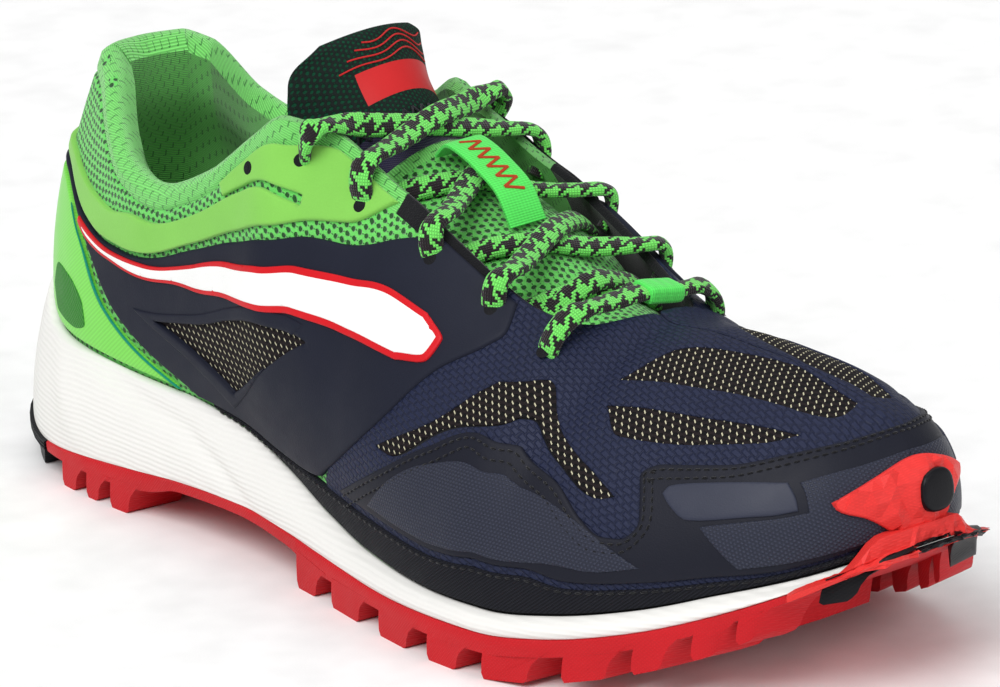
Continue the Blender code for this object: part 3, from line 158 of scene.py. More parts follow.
@dataclass(frozen=True)
class Last:
    """Form that the upper is drawn over, with the outline of the sole under it."""

    length: float = 0.292
    ball_width: float = 0.108
    heel_width: float = 0.084
    heel_stack: float = 0.0305
    ball_stack: float = 0.0135
    toe_spring: float = 0.032
    collar_rise: float = 0.067
    instep_rise: float = 0.079
    toe_box_rise: float = 0.054
    toe_turn_in: float = 0.009
    foot_inset: float = 0.009
    wall: float = 0.002
    collar_pad: float = 0.0075
    collar_roll: float = 0.0028
    fit_gap: float = 0.0003
    tread_depth: float = 0.0105
    ridge_start: float = 0.64

    outline_rows: tuple[Row, ...] = (
        (0.02, 0.245, 0.245), (0.06, 0.375, 0.370), (0.12, 0.462, 0.455), (0.20, 0.497, 0.490),
        (0.30, 0.505, 0.470), (0.40, 0.488, 0.405), (0.50, 0.475, 0.355), (0.60, 0.500, 0.378),
        (0.68, 0.523, 0.432), (0.75, 0.505, 0.463), (0.82, 0.437, 0.458), (0.88, 0.350, 0.421),
        (0.93, 0.262, 0.357), (0.97, 0.160, 0.270),
    )
    stack_rows: tuple[Row, ...] = (
        (0.0, 1.0), (0.12, 1.0), (0.28, 0.98), (0.36, 0.84), (0.43, 0.53), (0.50, 0.18), (0.56, 0.03),
        (0.64, 0.0), (0.76, 0.0), (0.88, -0.05), (1.0, -0.5),
    )
    spring_rows: tuple[Row, ...] = (
        (0.0, 0.14), (0.05, 0.05), (0.10, 0.0), (0.30, 0.0), (0.72, 0.0), (0.78, 0.06), (0.84, 0.18),
        (0.90, 0.38), (0.95, 0.64), (1.0, 1.0),
    )
    rubber_rows: tuple[Row, ...] = (
        (0.0, 0.75), (0.10, 0.80), (0.20, 1.00), (0.25, 1.10), (0.30, 1.20), (0.38, 1.25), (0.45, 1.15),
        (0.50, 1.05), (0.60, 0.95), (0.70, 1.00), (0.80, 0.95), (0.90, 0.85), (0.95, 0.66), (1.0, 0.32),
    )
    inset_rows: tuple[Row, ...] = (
        (0.0, 1.0), (0.25, 1.0), (0.40, 0.95), (0.50, 0.80), (0.62, 0.55), (0.80, 0.62), (0.90, 0.78),
        (1.0, 0.95),
    )
    lateral_rows: tuple[Row, ...] = (
        (0.000, 0.082, 0.00, 1.00, 86, 0.39, 70, 0.33),
        (0.100, 0.092, -0.26, 1.01, 86, 0.39, 70, 0.33),
        (0.160, 0.123, -0.42, 0.96, 86, 0.39, 72, 0.30),
        (0.220, 0.163, -0.62, 0.83, 84, 0.33, 78, 0.27),
        (0.280, 0.202, -0.75, 0.73, 80, 0.30, 84, 0.24),
        (0.330, 0.247, -0.80, 0.70, 78, 0.27, 84, 0.24),
        (0.380, 0.312, -0.78, 0.77, 74, 0.28, 80, 0.28),
        (0.420, 0.363, -0.71, 0.89, 70, 0.31, 76, 0.31),
        (0.450, 0.401, -0.62, 0.99, 68, 0.33, 68, 0.35),
        (0.475, 0.445, -0.47, 1.01, 68, 0.33, 56, 0.33),
        (0.520, 0.521, -0.41, 0.96, 68, 0.30, 50, 0.30),
        (0.560, 0.586, -0.40, 0.94, 68, 0.30, 44, 0.30),
        (0.600, 0.654, -0.37, 0.95, 68, 0.31, 32, 0.31),
        (0.620, 0.699, -0.28, 0.97, 69, 0.34, 16, 0.37),
    )
    ridge_rows: tuple[Row, ...] = (
        (0.640, 0.723, 0.02, 1.03, 70, 0.36, 0, 0.54),
        (0.700, 0.771, 0.07, 1.00, 70, 0.33, 0, 0.50),
        (0.760, 0.815, 0.12, 0.93, 72, 0.31, 0, 0.50),
        (0.820, 0.853, 0.16, 0.85, 74, 0.30, 0, 0.48),
        (0.880, 0.884, 0.18, 0.76, 76, 0.28, 0, 0.43),
        (0.940, 0.904, 0.19, 0.70, 78, 0.28, 0, 0.35),
        (1.000, 0.914, 0.19, 0.67, 80, 0.28, 0, 0.31),
    )
    medial_rows: tuple[Row, ...] = (
        (0.100, 0.092, 0.29, 1.00, 86, 0.39, 70, 0.33),
        (0.160, 0.111, 0.44, 0.96, 86, 0.39, 72, 0.30),
        (0.220, 0.140, 0.62, 0.78, 84, 0.33, 78, 0.27),
        (0.280, 0.178, 0.71, 0.71, 80, 0.30, 84, 0.24),
        (0.330, 0.226, 0.75, 0.71, 78, 0.27, 84, 0.24),
        (0.380, 0.295, 0.75, 0.76, 74, 0.28, 80, 0.28),
        (0.420, 0.353, 0.69, 0.85, 70, 0.31, 76, 0.31),
        (0.450, 0.394, 0.60, 0.94, 68, 0.33, 68, 0.35),
        (0.475, 0.438, 0.49, 0.95, 68, 0.33, 56, 0.33),
        (0.520, 0.514, 0.47, 0.91, 70, 0.30, 54, 0.30),
        (0.560, 0.579, 0.45, 0.89, 70, 0.30, 50, 0.30),
        (0.600, 0.658, 0.37, 0.91, 70, 0.31, 34, 0.31),
        (0.620, 0.709, 0.26, 0.93, 70, 0.34, 18, 0.37),
    )

    def local_width(self, x: Array) -> Array:
        """Width that the outline's shares belong to."""
        return self.heel_width + (self.ball_width - self.heel_width) * smooth((np.asarray(x) / self.length - 0.3) / 0.3)

    def outline(self, turn: Array) -> tuple[Array, Array]:
        """Plan outline of the sole.

        Args:
            turn: places along it.

        Returns:
            Their x and y, with x 0 at the back of the sole.
        """
        rows = [(0.0, 0.0), (1.0, self.toe_turn_in)]
        for along, lateral, medial in self.outline_rows:
            width, at = float(self.local_width(along * self.length)), float(turn_of(along))
            rows += [(at, -lateral * width), (2 - at, medial * width)]
        rows = [(u + lap, y) for lap in (-2, 0, 2) for u, y in sorted(rows)]
        turn = np.mod(turn, 2.0)
        return (1 - np.cos(math.pi * turn)) / 2 * self.length, spline(rows, turn)

    def outward(self, turn: Array) -> Array:
        """Horizontal direction out of the outline."""
        x0, y0 = self.outline(np.asarray(turn) - 1e-3)
        x1, y1 = self.outline(np.asarray(turn) + 1e-3)
        return unit(np.stack([y1 - y0, x0 - x1, 0 * x0], -1))

    def tread_plane(self, x: Array) -> Array:
        """Height of the ends of the lugs."""
        return self.toe_spring * monotone(self.spring_rows, 1, np.asarray(x) / self.length)

    def footbed(self, x: Array) -> Array:
        """Height of the midsole's upper face."""
        share = monotone(self.stack_rows, 1, np.asarray(x) / self.length)
        return self.tread_plane(x) + self.ball_stack + (self.heel_stack - self.ball_stack) * share

    def rubber_top(self, x: Array) -> Array:
        """Height of the seam between the rubber and the midsole."""
        return self.tread_plane(x) + self.tread_depth * monotone(self.rubber_rows, 1, np.asarray(x) / self.length)

    def on_outline(self, turn: Array, inset: Array, height: Callable[[Array], Array]) -> Array:
        """Points at a distance inside the outline.

        Args:
            turn: places along it.
            inset: distance inside.
            height: gives z from x.

        Returns:
            The points.
        """
        x, y = self.outline(turn)
        out = self.outward(turn)
        x, y = x - inset * out[..., 0], y - inset * out[..., 1]
        return np.stack([x, y, height(x)], -1)

    def foot_line(self, turn: Array) -> Array:
        """Where the upper's outer face meets the footbed."""
        share = monotone(both_sides(self.inset_rows), 1, np.mod(turn, 2.0))
        return self.on_outline(turn, self.foot_inset * share, self.footbed) + self.fit_gap * UP

    def local_rise(self, turn: Array) -> Array:
        """Named height that the top of a section is a share of."""
        collar, instep, toe = self.collar_rise, self.instep_rise, self.toe_box_rise
        rows = ((0.0, collar), (0.33, collar), (0.45, instep), (0.52, instep), (0.66, toe), (1.0, toe))
        return monotone(rows, 1, side_of(turn))

    def section(self, column: int, turn: Array) -> Array:
        """A column of the section tables, with the ridge alike on both sides."""
        turn, side = np.mod(turn, 2.0), side_of(turn)
        rows = closed_rows(self.lateral_rows + self.ridge_rows, self.medial_rows + self.ridge_rows[:-1])
        ridge = monotone(self.ridge_rows, column, np.clip(side, self.ridge_start, 1.0))
        return np.where(side > self.ridge_start - 1e-6, ridge, monotone(rows, column, turn))

    def top_line(self, turn: Array) -> Array:
        """The collar's rim, the throat's edge and the ridge of the toe box."""
        x = self.section(1, turn) * self.length
        y = self.section(2, turn) * self.local_width(x) / 2
        return np.stack([x, y, self.footbed(x) + self.section(3, turn) * self.local_rise(turn)], -1)

    def ridge_slope(self, turn: Array) -> Array:
        """Fall of the ridge for each step forward, and none behind the ridge."""
        side = side_of(turn)
        at = np.clip(side, self.ridge_start + 0.01, 0.99)
        step = self.top_line(at + 0.01) - self.top_line(at - 0.01)
        return np.where(side > self.ridge_start - 1e-6, step[..., 2] / step[..., 0], 0.0)

    def surface(self, turn: Array, rise: Array) -> Array:
        """Outer face of the upper.

        Args:
            turn: places along the outline.
            rise: places up each section.

        Returns:
            Points on a cubic curve from the foot line to the top line.
        """
        turn, rise = np.broadcast_arrays(np.asarray(turn, float), np.asarray(rise, float))
        foot, top, out, tall = self.foot_line(turn), self.top_line(turn), self.outward(turn), self.local_rise(turn)
        low_angle = np.radians(self.section(4, turn))[..., None]
        high_angle = np.radians(self.section(6, turn))[..., None]
        lean = out + (self.ridge_slope(turn) * out[..., 0])[..., None] * UP
        low = foot + (self.section(5, turn) * tall)[..., None] * (np.cos(low_angle) * out + np.sin(low_angle) * UP)
        high = top + (self.section(7, turn) * tall)[..., None] * (np.cos(high_angle) * lean - np.sin(high_angle) * UP)
        t = rise[..., None]
        return (1 - t) ** 3 * foot + 3 * (1 - t) ** 2 * t * low + 3 * (1 - t) * t**2 * high + t**3 * top

    def slant(self, turn: Array, rise: Array) -> Array:
        """Direction out of the surface from one side of the ridge."""
        step, rise = 1e-3, np.clip(rise, 1e-3, 0.985)
        along = self.surface(turn + step, rise) - self.surface(turn - step, rise)
        return unit(np.cross(along, self.surface(turn, rise + step) - self.surface(turn, rise - step)))

    def normal(self, turn: Array, rise: Array) -> Array:
        """Direction out of the upper, the same from both sides on the ridge."""
        turn, rise = np.broadcast_arrays(np.asarray(turn, float), np.asarray(rise, float))
        facing = self.slant(turn, rise)
        ridge = (rise > 0.999) & (side_of(turn) > self.ridge_start - 1e-6)
        return unit(np.where(ridge[..., None], facing + self.slant(2 - turn, rise), facing))

    def lifted(self, turn: Array, rise: Array, lift: Array) -> Array:
        """Points off the upper's outer face, outward when the lift is positive."""
        return self.surface(turn, rise) + np.asarray(lift)[..., None] * self.normal(turn, rise)

    def wall_at(self, turn: Array, rise: Array) -> Array:
        """Thickness of the upper's wall, with the padded collar."""
        share = smooth((0.50 - side_of(turn)) / 0.12) * smooth((rise - 0.45) / 0.40)
        return self.wall + (self.collar_pad - self.wall) * share


last = Last()


class Graph:
    """Shader nodes of one material, made by calls and by the operators of Value."""

    def __init__(self, name: str) -> None:
        """Starts a material with its shader node."""
        self.material = bpy.data.materials.new(name)
        self.material.use_nodes = True
        self.tree = self.material.node_tree
        self.shader = self.tree.nodes["Principled BSDF"]

    def feed(self, socket: bpy.types.NodeSocket, value: object) -> None:
        """Links or sets one input."""
        if isinstance(value, Value):
            self.tree.links.new(value.socket, socket)
        else:
            socket.default_value = value

    def node(self, kind: str, inputs: dict, out: int | str = 0, **settings: object) -> "Value":
        """Adds a node.

        Args:
            kind: type of the node without its prefix.
            inputs: values by input name or number.
            out: output to give back.
            settings: the node's own properties.

        Returns:
            The output.
        """
        made = self.tree.nodes.new("ShaderNode" + kind)
        for key, value in settings.items():
            setattr(made, key, value)
        for key, value in inputs.items():
            self.feed(made.inputs[key], value)
        return Value(self, made.outputs[out])

    def math(self, operation: str, *values: object) -> "Value":
        """Arithmetic on up to three numbers."""
        return self.node("Math", dict(enumerate(values)), operation=operation)

    def cloth(self) -> "tuple[Value, Value, Value]":
        """The piece's own surface coordinates, in metres."""
        read = self.node("Attribute", {}, "Vector", attribute_name="cloth")
        split = self.node("SeparateXYZ", {0: read})
        sockets = split.socket.node.outputs
        return Value(self, sockets[0]), Value(self, sockets[1]), Value(self, sockets[2])

    def place(self) -> "Value":
        """Object coordinates."""
        return self.node("TexCoord", {}, "Object")

    def noise(self, scale: float, detail: float = 2.0) -> "Value":
        """Noise from 0 to 1 on object coordinates, with features of about 1 / scale metres."""
        return self.node("TexNoise", {"Vector": self.place(), "Scale": scale, "Detail": detail}, "Fac")

    def step(self, value: "Value", low: float, high: float) -> "Value":
        """Eases from 0 to 1 as a value goes from low to high."""
        inputs = {"Value": value, "From Min": low, "From Max": high}
        return self.node("MapRange", inputs, interpolation_type="SMOOTHSTEP")

    def mix(self, share: "Value", first: object, second: object) -> "Value":
        """Colour between two."""
        colours = [(*value, 1.0) if isinstance(value, tuple) else value for value in (first, second)]
        made = self.node("Mix", {0: share}, 2, data_type="RGBA")
        for index, value in zip((6, 7), colours):
            self.feed(made.socket.node.inputs[index], value)
        return made


class Value:
    """A number in a shader, with the usual operators."""

    def __init__(self, graph: Graph, socket: bpy.types.NodeSocket) -> None:
        """Wraps one output socket."""
        self.graph, self.socket = graph, socket

    def __add__(self, other: object) -> "Value":
        """Sum."""
        return self.graph.math("ADD", self, other)

    def __sub__(self, other: object) -> "Value":
        """Difference."""
        return self.graph.math("SUBTRACT", self, other)

    def __rsub__(self, other: float) -> "Value":
        """Difference from a number."""
        return self.graph.math("SUBTRACT", other, self)

    def __mul__(self, other: object) -> "Value":
        """Product."""
        return self.graph.math("MULTIPLY", self, other)

    def __truediv__(self, other: object) -> "Value":
        """Quotient."""
        return self.graph.math("DIVIDE", self, other)

    def __mod__(self, other: float) -> "Value":
        """Remainder that is never negative."""
        return self.graph.math("FLOORED_MODULO", self, other)

    def __lt__(self, other: object) -> "Value":
        """1 where less."""
        return self.graph.math("LESS_THAN", self, other)

    def __abs__(self) -> "Value":
        """Size without sign."""
        return self.graph.math("ABSOLUTE", self)

    def floor(self) -> "Value":
        """Whole part."""
        return self.graph.math("FLOOR", self)

    def wave(self) -> "Value":
        """From 0 to 1 and back over each whole number."""
        return self.graph.math("SINE", self * (2 * math.pi)) * 0.5 + 0.5

    def off_centre(self) -> "Value":
        """Distance from the middle of the cell between two whole numbers, with its sign."""
        return (self % 1.0) - 0.5


def cells(u: Value, v: Value, wide: float, tall: float) -> tuple[Value, Value]:
    """Staggered rows of cells.

    Args:
        u: coordinate along the rows.
        v: coordinate across them.
        wide: length of a cell.
        tall: height of a row.

    Returns:
        Each place's distances from the middle of its cell, as shares of the cell's size.
    """
    row = v / tall
    shift = (row.floor() % 2.0) * 0.5
    return (u / wide + shift).off_centre(), row.off_centre()


def round_spot(x: Value, y: Value, squash: float) -> Value:
    """Distance from a cell's middle, with y stretched."""
    return x.graph.math("SQRT", x * x + y * y * squash)


@dataclass(frozen=True)
class Finish:
    """A surface's colour and gloss. The kinds below add their pattern."""

    name: str
    colour: Colour
    second: Colour = (0.01, 0.01, 0.012)
    roughness: float = 0.6
    sheen: float = 0.0
    coat: float = 0.0
    specular: float = 0.16
    pitch: float = 0.001
    depth: float = 0.0002

    def tinted(self, share: float) -> Colour:
        """The first colour made lighter or darker."""
        return tuple(channel * share for channel in self.colour)

    def pattern(self, graph: Graph) -> tuple[object, Value]:
        """Colour and height of plain fine grain."""
        fine = graph.noise(2600.0, 3.0)
        broad = graph.noise(60.0)
        tone = graph.mix(broad * 0.7 + fine * 0.3, self.tinted(0.84), self.tinted(1.16))
        return tone, fine

    def material(self) -> bpy.types.Material:
        """The finished material, made once."""
        name = "finish_" + self.name
        known = bpy.data.materials.get(name)
        if known:
            return known
        graph = Graph(name)
        colour, height = self.pattern(graph)
        shader = graph.shader.inputs
        graph.feed(shader["Base Color"], colour)
        graph.feed(shader["Roughness"], graph.noise(180.0) * 0.16 + (self.roughness - 0.08))
        shader["Sheen Weight"].default_value = self.sheen
        shader["Coat Weight"].default_value = self.coat
        shader["Specular IOR Level"].default_value = self.specular
        bump = graph.node("Bump", {"Height": height, "Distance": self.depth})
        graph.feed(shader["Normal"], bump)
        return graph.material


@dataclass(frozen=True)
class SpacerMesh(Finish):
    """Open knit with staggered round holes."""

    def pattern(self, graph: Graph) -> tuple[object, Value]:
        """Dark holes with small gaps between them."""
        u, v, _ = graph.cloth()
        wobble = (graph.noise(500.0) - 0.5) * (self.pitch * 0.5)
        u, v = u + wobble, v - wobble
        x, y = cells(u, v, self.pitch, self.pitch * 0.84)
        hole = graph.step(round_spot(x, y, 0.75), 0.33, 0.23)
        x2, y2 = cells(u + self.pitch * 0.5, v, self.pitch, self.pitch * 0.84)
        gap = graph.step(round_spot(x2, y2, 2.6), 0.16, 0.08)
        dark = graph.math("MAXIMUM", hole, gap * 0.75)
        thread = ((u + v) / (self.pitch * 0.16)).wave() * 0.5 + ((u - v) / (self.pitch * 0.16)).wave() * 0.5
        light = graph.mix(thread, self.tinted(0.72), self.colour)
        deep = graph.mix(graph.noise(300.0), tuple(c * 0.35 for c in self.second), self.second)
        return graph.mix(dark, light, deep), (1.0 - dark) + thread * 0.12


@dataclass(frozen=True)
class RibLining(Finish):
    """Fine ribbed lining with small broken lines."""

    def pattern(self, graph: Graph) -> tuple[object, Value]:
        """Ribs along the rim, with short dark marks in a brick layout."""
        u, v, _ = graph.cloth()
        rib = (v / self.pitch + graph.noise(120.0) * 0.4).wave()
        x, y = cells(u, v, self.pitch * 6, self.pitch * 4)
        upright = (abs(x) < 0.05) * (abs(y) < 0.36)
        level = (abs(y - 0.36) < 0.06) * (abs(x - 0.10) < 0.10)
        mark = graph.math("MAXIMUM", upright, level)
        tone = graph.mix(rib, self.tinted(0.66), self.colour)
        return graph.mix(mark * 0.85, tone, self.second), rib - mark * 0.8


@dataclass(frozen=True)
class DashMesh(Finish):
    """Dark open mesh with short pale dashes."""

    def pattern(self, graph: Graph) -> tuple[object, Value]:
        """Slanted dashes between dark holes."""
        u, v, _ = graph.cloth()
        x, y = cells(u, v, self.pitch, self.pitch * 0.8)
        slant = y + x * 0.9
        dash = (abs(slant) < 0.12) * (abs(x) < 0.19)
        x2, y2 = cells(u + self.pitch * 0.5, v, self.pitch, self.pitch * 0.8)
        hole = graph.step(round_spot(x2, y2, 0.8), 0.36, 0.22)
        weave = ((u - v) / (self.pitch * 0.2)).wave()
        base = graph.mix(weave, self.tinted(0.55), self.tinted(1.5))
        base = graph.mix(hole, base, (0.003, 0.003, 0.004))
        return graph.mix(dash, base, self.second), (1.0 - hole) * 0.6 + weave * 0.15 + dash * 0.5


@dataclass(frozen=True)
class BrickEmboss(Finish):
    """Film over a fabric of small bricks that shows through."""

    def pattern(self, graph: Graph) -> tuple[object, Value]:
        """Rounded bricks in staggered rows."""
        u, v, _ = graph.cloth()
        wobble = (graph.noise(350.0) - 0.5) * (self.pitch * 0.4)
        x, y = cells(u + wobble, v + wobble, self.pitch, self.pitch * 0.52)
        brick = graph.step(abs(x), 0.50, 0.30) * graph.step(abs(y), 0.50, 0.26)
        tone = graph.mix(brick * 0.7 + graph.noise(90.0) * 0.3, self.tinted(0.78), self.tinted(1.25))
        return tone, brick + graph.noise(1500.0) * 0.2


@dataclass(frozen=True)
class DotFilm(Finish):
    """Moulded film with fine raised dots."""

    def pattern(self, graph: Graph) -> tuple[object, Value]:
        """Staggered dots that catch the light."""
        u, v, _ = graph.cloth()
        x, y = cells(u, v, self.pitch, self.pitch * 0.8)
        dot = graph.step(round_spot(x, y, 1.0), 0.46, 0.12)
        tone = graph.mix(dot, self.tinted(0.70), self.tinted(1.22))
        return tone, dot


@dataclass(frozen=True)
class Twill(Finish):
    """Diagonal weave."""

    def pattern(self, graph: Graph) -> tuple[object, Value]:
        """Diagonal ribs broken by crossing threads."""
        u, v, _ = graph.cloth()
        rib = ((u + v) / self.pitch).wave()
        cross = ((u - v * 0.6) / (self.pitch * 0.7)).wave()
        weave = rib * 0.75 + cross * 0.25
        return graph.mix(weave, self.second, self.colour), weave


@dataclass(frozen=True)
class MouldedRubber(Finish):
    """Rubber with a fine crossed grain."""

    def pattern(self, graph: Graph) -> tuple[object, Value]:
        """Crossed lines over a slow change of tone."""
        split = graph.node("SeparateXYZ", {0: graph.place()})
        x, z = Value(graph, split.socket.node.outputs[0]), Value(graph, split.socket.node.outputs[2])
        cross = ((x + z) / self.pitch).wave() * ((x - z) / self.pitch).wave()
        broad = graph.noise(45.0)
        tone = graph.mix(broad * 0.7 + cross * 0.3, self.tinted(0.80), self.tinted(1.15))
        return tone, cross + graph.noise(1800.0) * 0.4


@dataclass(frozen=True)
class LinedFoam(Finish):
    """Moulded foam with fine level lines."""

    def pattern(self, graph: Graph) -> tuple[object, Value]:
        """Wavering lines round the side."""
        split = graph.node("SeparateXYZ", {0: graph.place()})
        z = Value(graph, split.socket.node.outputs[2])
        line = (z / self.pitch + graph.noise(35.0) * 2.2).wave()
        tone = graph.mix(line * 0.4 + graph.noise(70.0) * 0.6, self.tinted(0.94), self.colour)
        return tone, line + graph.noise(900.0) * 0.2


@dataclass(frozen=True)
class HoundLace(Finish):
    """Braided lace of two colours in broken checks."""

    def pattern(self, graph: Graph) -> tuple[object, Value]:
        """Groups of four dark and four light threads in a two and two twill."""
        u, v, _ = graph.cloth()
        x, y = u / self.pitch, v / self.pitch
        column, row = x.floor(), y.floor()
        over = (column + row) % 4.0 < 2.0
        warp, weft = (column % 8.0) < 4.0, (row % 8.0) < 4.0
        dark = over * warp + (1.0 - over) * weft
        round_thread = graph.step(abs(x.off_centre()), 0.55, 0.15) * graph.step(abs(y.off_centre()), 0.55, 0.15)
        light = graph.mix(round_thread, self.tinted(0.6), self.colour)
        return graph.mix(dark, light, self.second), round_thread


@dataclass(frozen=True)
class Webbing(Finish):
    """Narrow woven tape."""

    def pattern(self, graph: Graph) -> tuple[object, Value]:
        """Fine ribs across with threads along."""
        u, v, _ = graph.cloth()
        weave = (u / self.pitch).wave() * 0.7 + (v / (self.pitch * 1.6)).wave() * 0.3
        return graph.mix(weave, self.tinted(0.72), self.colour), weave


GREEN: Colour = (0.17, 0.78, 0.14)
LIME: Colour = (0.215, 0.56, 0.085)
DEEP_GREEN: Colour = (0.015, 0.12, 0.02)
NAVY: Colour = (0.010, 0.012, 0.024)
VAMP: Colour = (0.013, 0.017, 0.043)
GREY: Colour = (0.032, 0.036, 0.058)
BLACK: Colour = (0.005, 0.005, 0.007)
RED: Colour = (0.56, 0.012, 0.018)
CORAL: Colour = (0.78, 0.042, 0.038)
WHITE: Colour = (0.84, 0.83, 0.80)


class Look(Enum):
    """Every finish on the shoe."""

    MESH = SpacerMesh("spacer_mesh", GREEN, DEEP_GREEN, 0.75, sheen=0.3, pitch=0.0021, depth=0.0006)
    LINING = RibLining("rib_lining", (0.22, 0.80, 0.17), (0.03, 0.22, 0.03), 0.8, sheen=0.4, pitch=0.00055, depth=0.00018)
    # Black lining: painted shade inside the forefoot, also laid on the outer faces hidden under the vamp film.
    PAINTED_SHADE_LINING = Finish("painted_shade_lining", BLACK, roughness=0.9, sheen=0.2)
    SUEDE = Finish("lime_suede", LIME, roughness=0.72, sheen=0.25, depth=0.00006)
    FILM = Twill("counter_film", (0.21, 0.74, 0.09), (0.17, 0.62, 0.07), 0.38, coat=0.15, pitch=0.0012, depth=0.00003)
    NAVY_FILM = Finish("navy_film", NAVY, roughness=0.55, depth=0.00005)
    VAMP_FILM = BrickEmboss("vamp_film", VAMP, roughness=0.50, pitch=0.0026, depth=0.00022)
    WINDOW = DashMesh("window_mesh", (0.012, 0.008, 0.009), (0.58, 0.55, 0.38), 0.7, pitch=0.0020, depth=0.0004)
    DOTS = DotFilm("dotted_film", GREY, roughness=0.42, pitch=0.00095, depth=0.00018)
    PLATE = Finish("plain_plate", GREY, roughness=0.40, depth=0.00003)
    GUARD = Finish("guard_film", (0.009, 0.010, 0.018), roughness=0.50, depth=0.00005)
    RAND = Twill("rand_twill", (0.012, 0.013, 0.020), (0.003, 0.003, 0.005), 0.7, pitch=0.0009, depth=0.00022)
    BLACK_FILM = Finish("black_film", BLACK, roughness=0.6)
    STRIPE = Finish("white_film", (0.88, 0.88, 0.87), roughness=0.35, coat=0.1, depth=0.00002)
    EDGING = Finish("red_film", (0.60, 0.010, 0.016), roughness=0.35, depth=0.00002)
    TEAL = Finish("teal_edge", (0.0, 0.26, 0.15), roughness=0.4)
    BUMPER = MouldedRubber("coral_rubber", CORAL, roughness=0.42, pitch=0.0008, depth=0.00004)
    PAD = Finish("pad_rubber", BLACK, roughness=0.35, depth=0.00004)
    RUBBER = MouldedRubber("red_rubber", RED, roughness=0.48, pitch=0.0009, depth=0.00008)
    BLACK_RUBBER = MouldedRubber("black_rubber", BLACK, roughness=0.42, pitch=0.0009, depth=0.00006)
    FOAM = LinedFoam("lined_foam", WHITE, roughness=0.62, pitch=0.0012, depth=0.00010)
    LACE = HoundLace("lace_cord", (0.20, 0.86, 0.14), (0.012, 0.008, 0.010), 0.75, sheen=0.2, pitch=0.00062, depth=0.00016)
    TAPE = Webbing("green_tape", (0.10, 0.84, 0.12), roughness=0.6, sheen=0.2, pitch=0.0006, depth=0.0001)
    TONGUE_KNIT = SpacerMesh("tongue_knit", (0.009, 0.016, 0.014), (0.004, 0.075, 0.035), 0.8, pitch=0.0012, depth=0.0002)
    SATIN = Twill("satin_band", (0.035, 0.028, 0.090), (0.012, 0.010, 0.034), 0.45, sheen=0.3, pitch=0.0007, depth=0.00012)
    THREAD = Finish("navy_thread", (0.008, 0.009, 0.014), roughness=0.7, sheen=0.3)
    INSOLE = Finish("insole_fabric", BLACK, roughness=0.9, sheen=0.3)
    OVAL = Twill("ribbed_insert", (0.05, 0.30, 0.03), (0.02, 0.16, 0.02), 0.5, pitch=0.0014, depth=0.0003)
    PATCH = Finish("red_patch", (0.55, 0.020, 0.022), roughness=0.5, depth=0.00003)
    RUST = Finish("rust_thread", (0.42, 0.05, 0.015), roughness=0.7)
    LOOSE = Finish("black_thread", (0.004, 0.004, 0.006), roughness=0.8, sheen=0.2)


def mesh_object(name: str, points: Array, faces: Sequence[Sequence[int]], look: Look, cloth: Array | None = None) -> Object:
    """A new object from points and faces, welded and facing outward.

    Args:
        name: the piece's name.
        points: one row for each point, with x 0 at the back of the sole.
        faces: corners of each face.
        look: its finish.
        cloth: surface coordinates of each point, in metres.

    Returns:
        The object, linked and smooth.
    """
    mesh = bpy.data.meshes.new(name)
    mesh.from_pydata((np.asarray(points) + TO_FRAME).tolist(), [], [list(face) for face in faces])
    if cloth is not None:
        values = np.zeros((len(points), 3), np.float32)
        values[:, : cloth.shape[1]] = cloth
        mesh.attributes.new("cloth", "FLOAT_VECTOR", "POINT").data.foreach_set("vector", values.ravel())
    built = bmesh.new()
    built.from_mesh(mesh)
    bmesh.ops.remove_doubles(built, verts=built.verts, dist=2e-6)
    bmesh.ops.recalc_face_normals(built, faces=built.faces)
    if built.calc_volume(signed=True) < 0:
        bmesh.ops.reverse_faces(built, faces=built.faces)
    built.to_mesh(mesh)
    built.free()
    mesh.shade_smooth()
    mesh.set_sharp_from_angle(angle=math.radians(50))
    mesh.materials.append(look.value.material())
    made = bpy.data.objects.new(name, mesh)
    bpy.context.scene.collection.objects.link(made)
    return made


def finished(piece: Object, slot: str, *nodes: str) -> Object:
    """Puts a piece on the shoe's one body, in place of the solids that it stands for."""
    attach(piece, "root")
    if nodes:
        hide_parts(*nodes)
    log.info("%s: %d faces", piece.name, len(piece.data.polygons))
    return piece


def bundle(name: str, parts: Sequence[Shape], look: "Look", slot: str, *nodes: str) -> None:
    """Several closed shapes as one finished piece.

    Args:
        name: the piece's name.
        parts: points, faces and surface coordinates of each shape.
        look: its finish.
        slot: its colour slot; not used.
        nodes: the solids that it stands for.
    """
    faces, start = [], 0
    for points, around, _ in parts:
        faces += [tuple(index + start for index in face) for face in around]
        start += len(points)
    points, cloth = (np.concatenate([part[column] for part in parts]) for column in (0, 2))
    finished(mesh_object(name, points, faces, look, cloth), slot, *nodes)


def plain(points: Array, faces: Sequence[Sequence[int]]) -> Shape:
    """A shape whose finish needs no surface coordinates."""
    return points, [tuple(face) for face in faces], np.zeros((len(points), 2))


def grid_faces(rows: int, columns: int, start: int = 0, wrap: bool = False) -> list[tuple[int, ...]]:
    """Quads between the rows of a grid of points.

    Args:
        rows: number of rows.
        columns: points in each.
        start: number of the first point.
        wrap: whether the last column joins the first.

    Returns:
        The quads.
    """
    faces = []
    for row in range(rows - 1):
        low = start + row * columns
        for column in range(columns if wrap else columns - 1):
            beside = (column + 1) % columns
            faces.append((low + column, low + beside, low + columns + beside, low + columns + column))
    return faces


def tube(rings: Array, capped: bool = True) -> tuple[Array, list[tuple[int, ...]]]:
    """Points and faces of a tube through rings of points, closed at both ends where asked."""
    count, around = rings.shape[:2]
    faces = grid_faces(count, around, wrap=True)
    if capped:
        faces += [tuple(range(around)), tuple(range((count - 1) * around, count * around))]
    return rings.reshape(-1, 3), faces


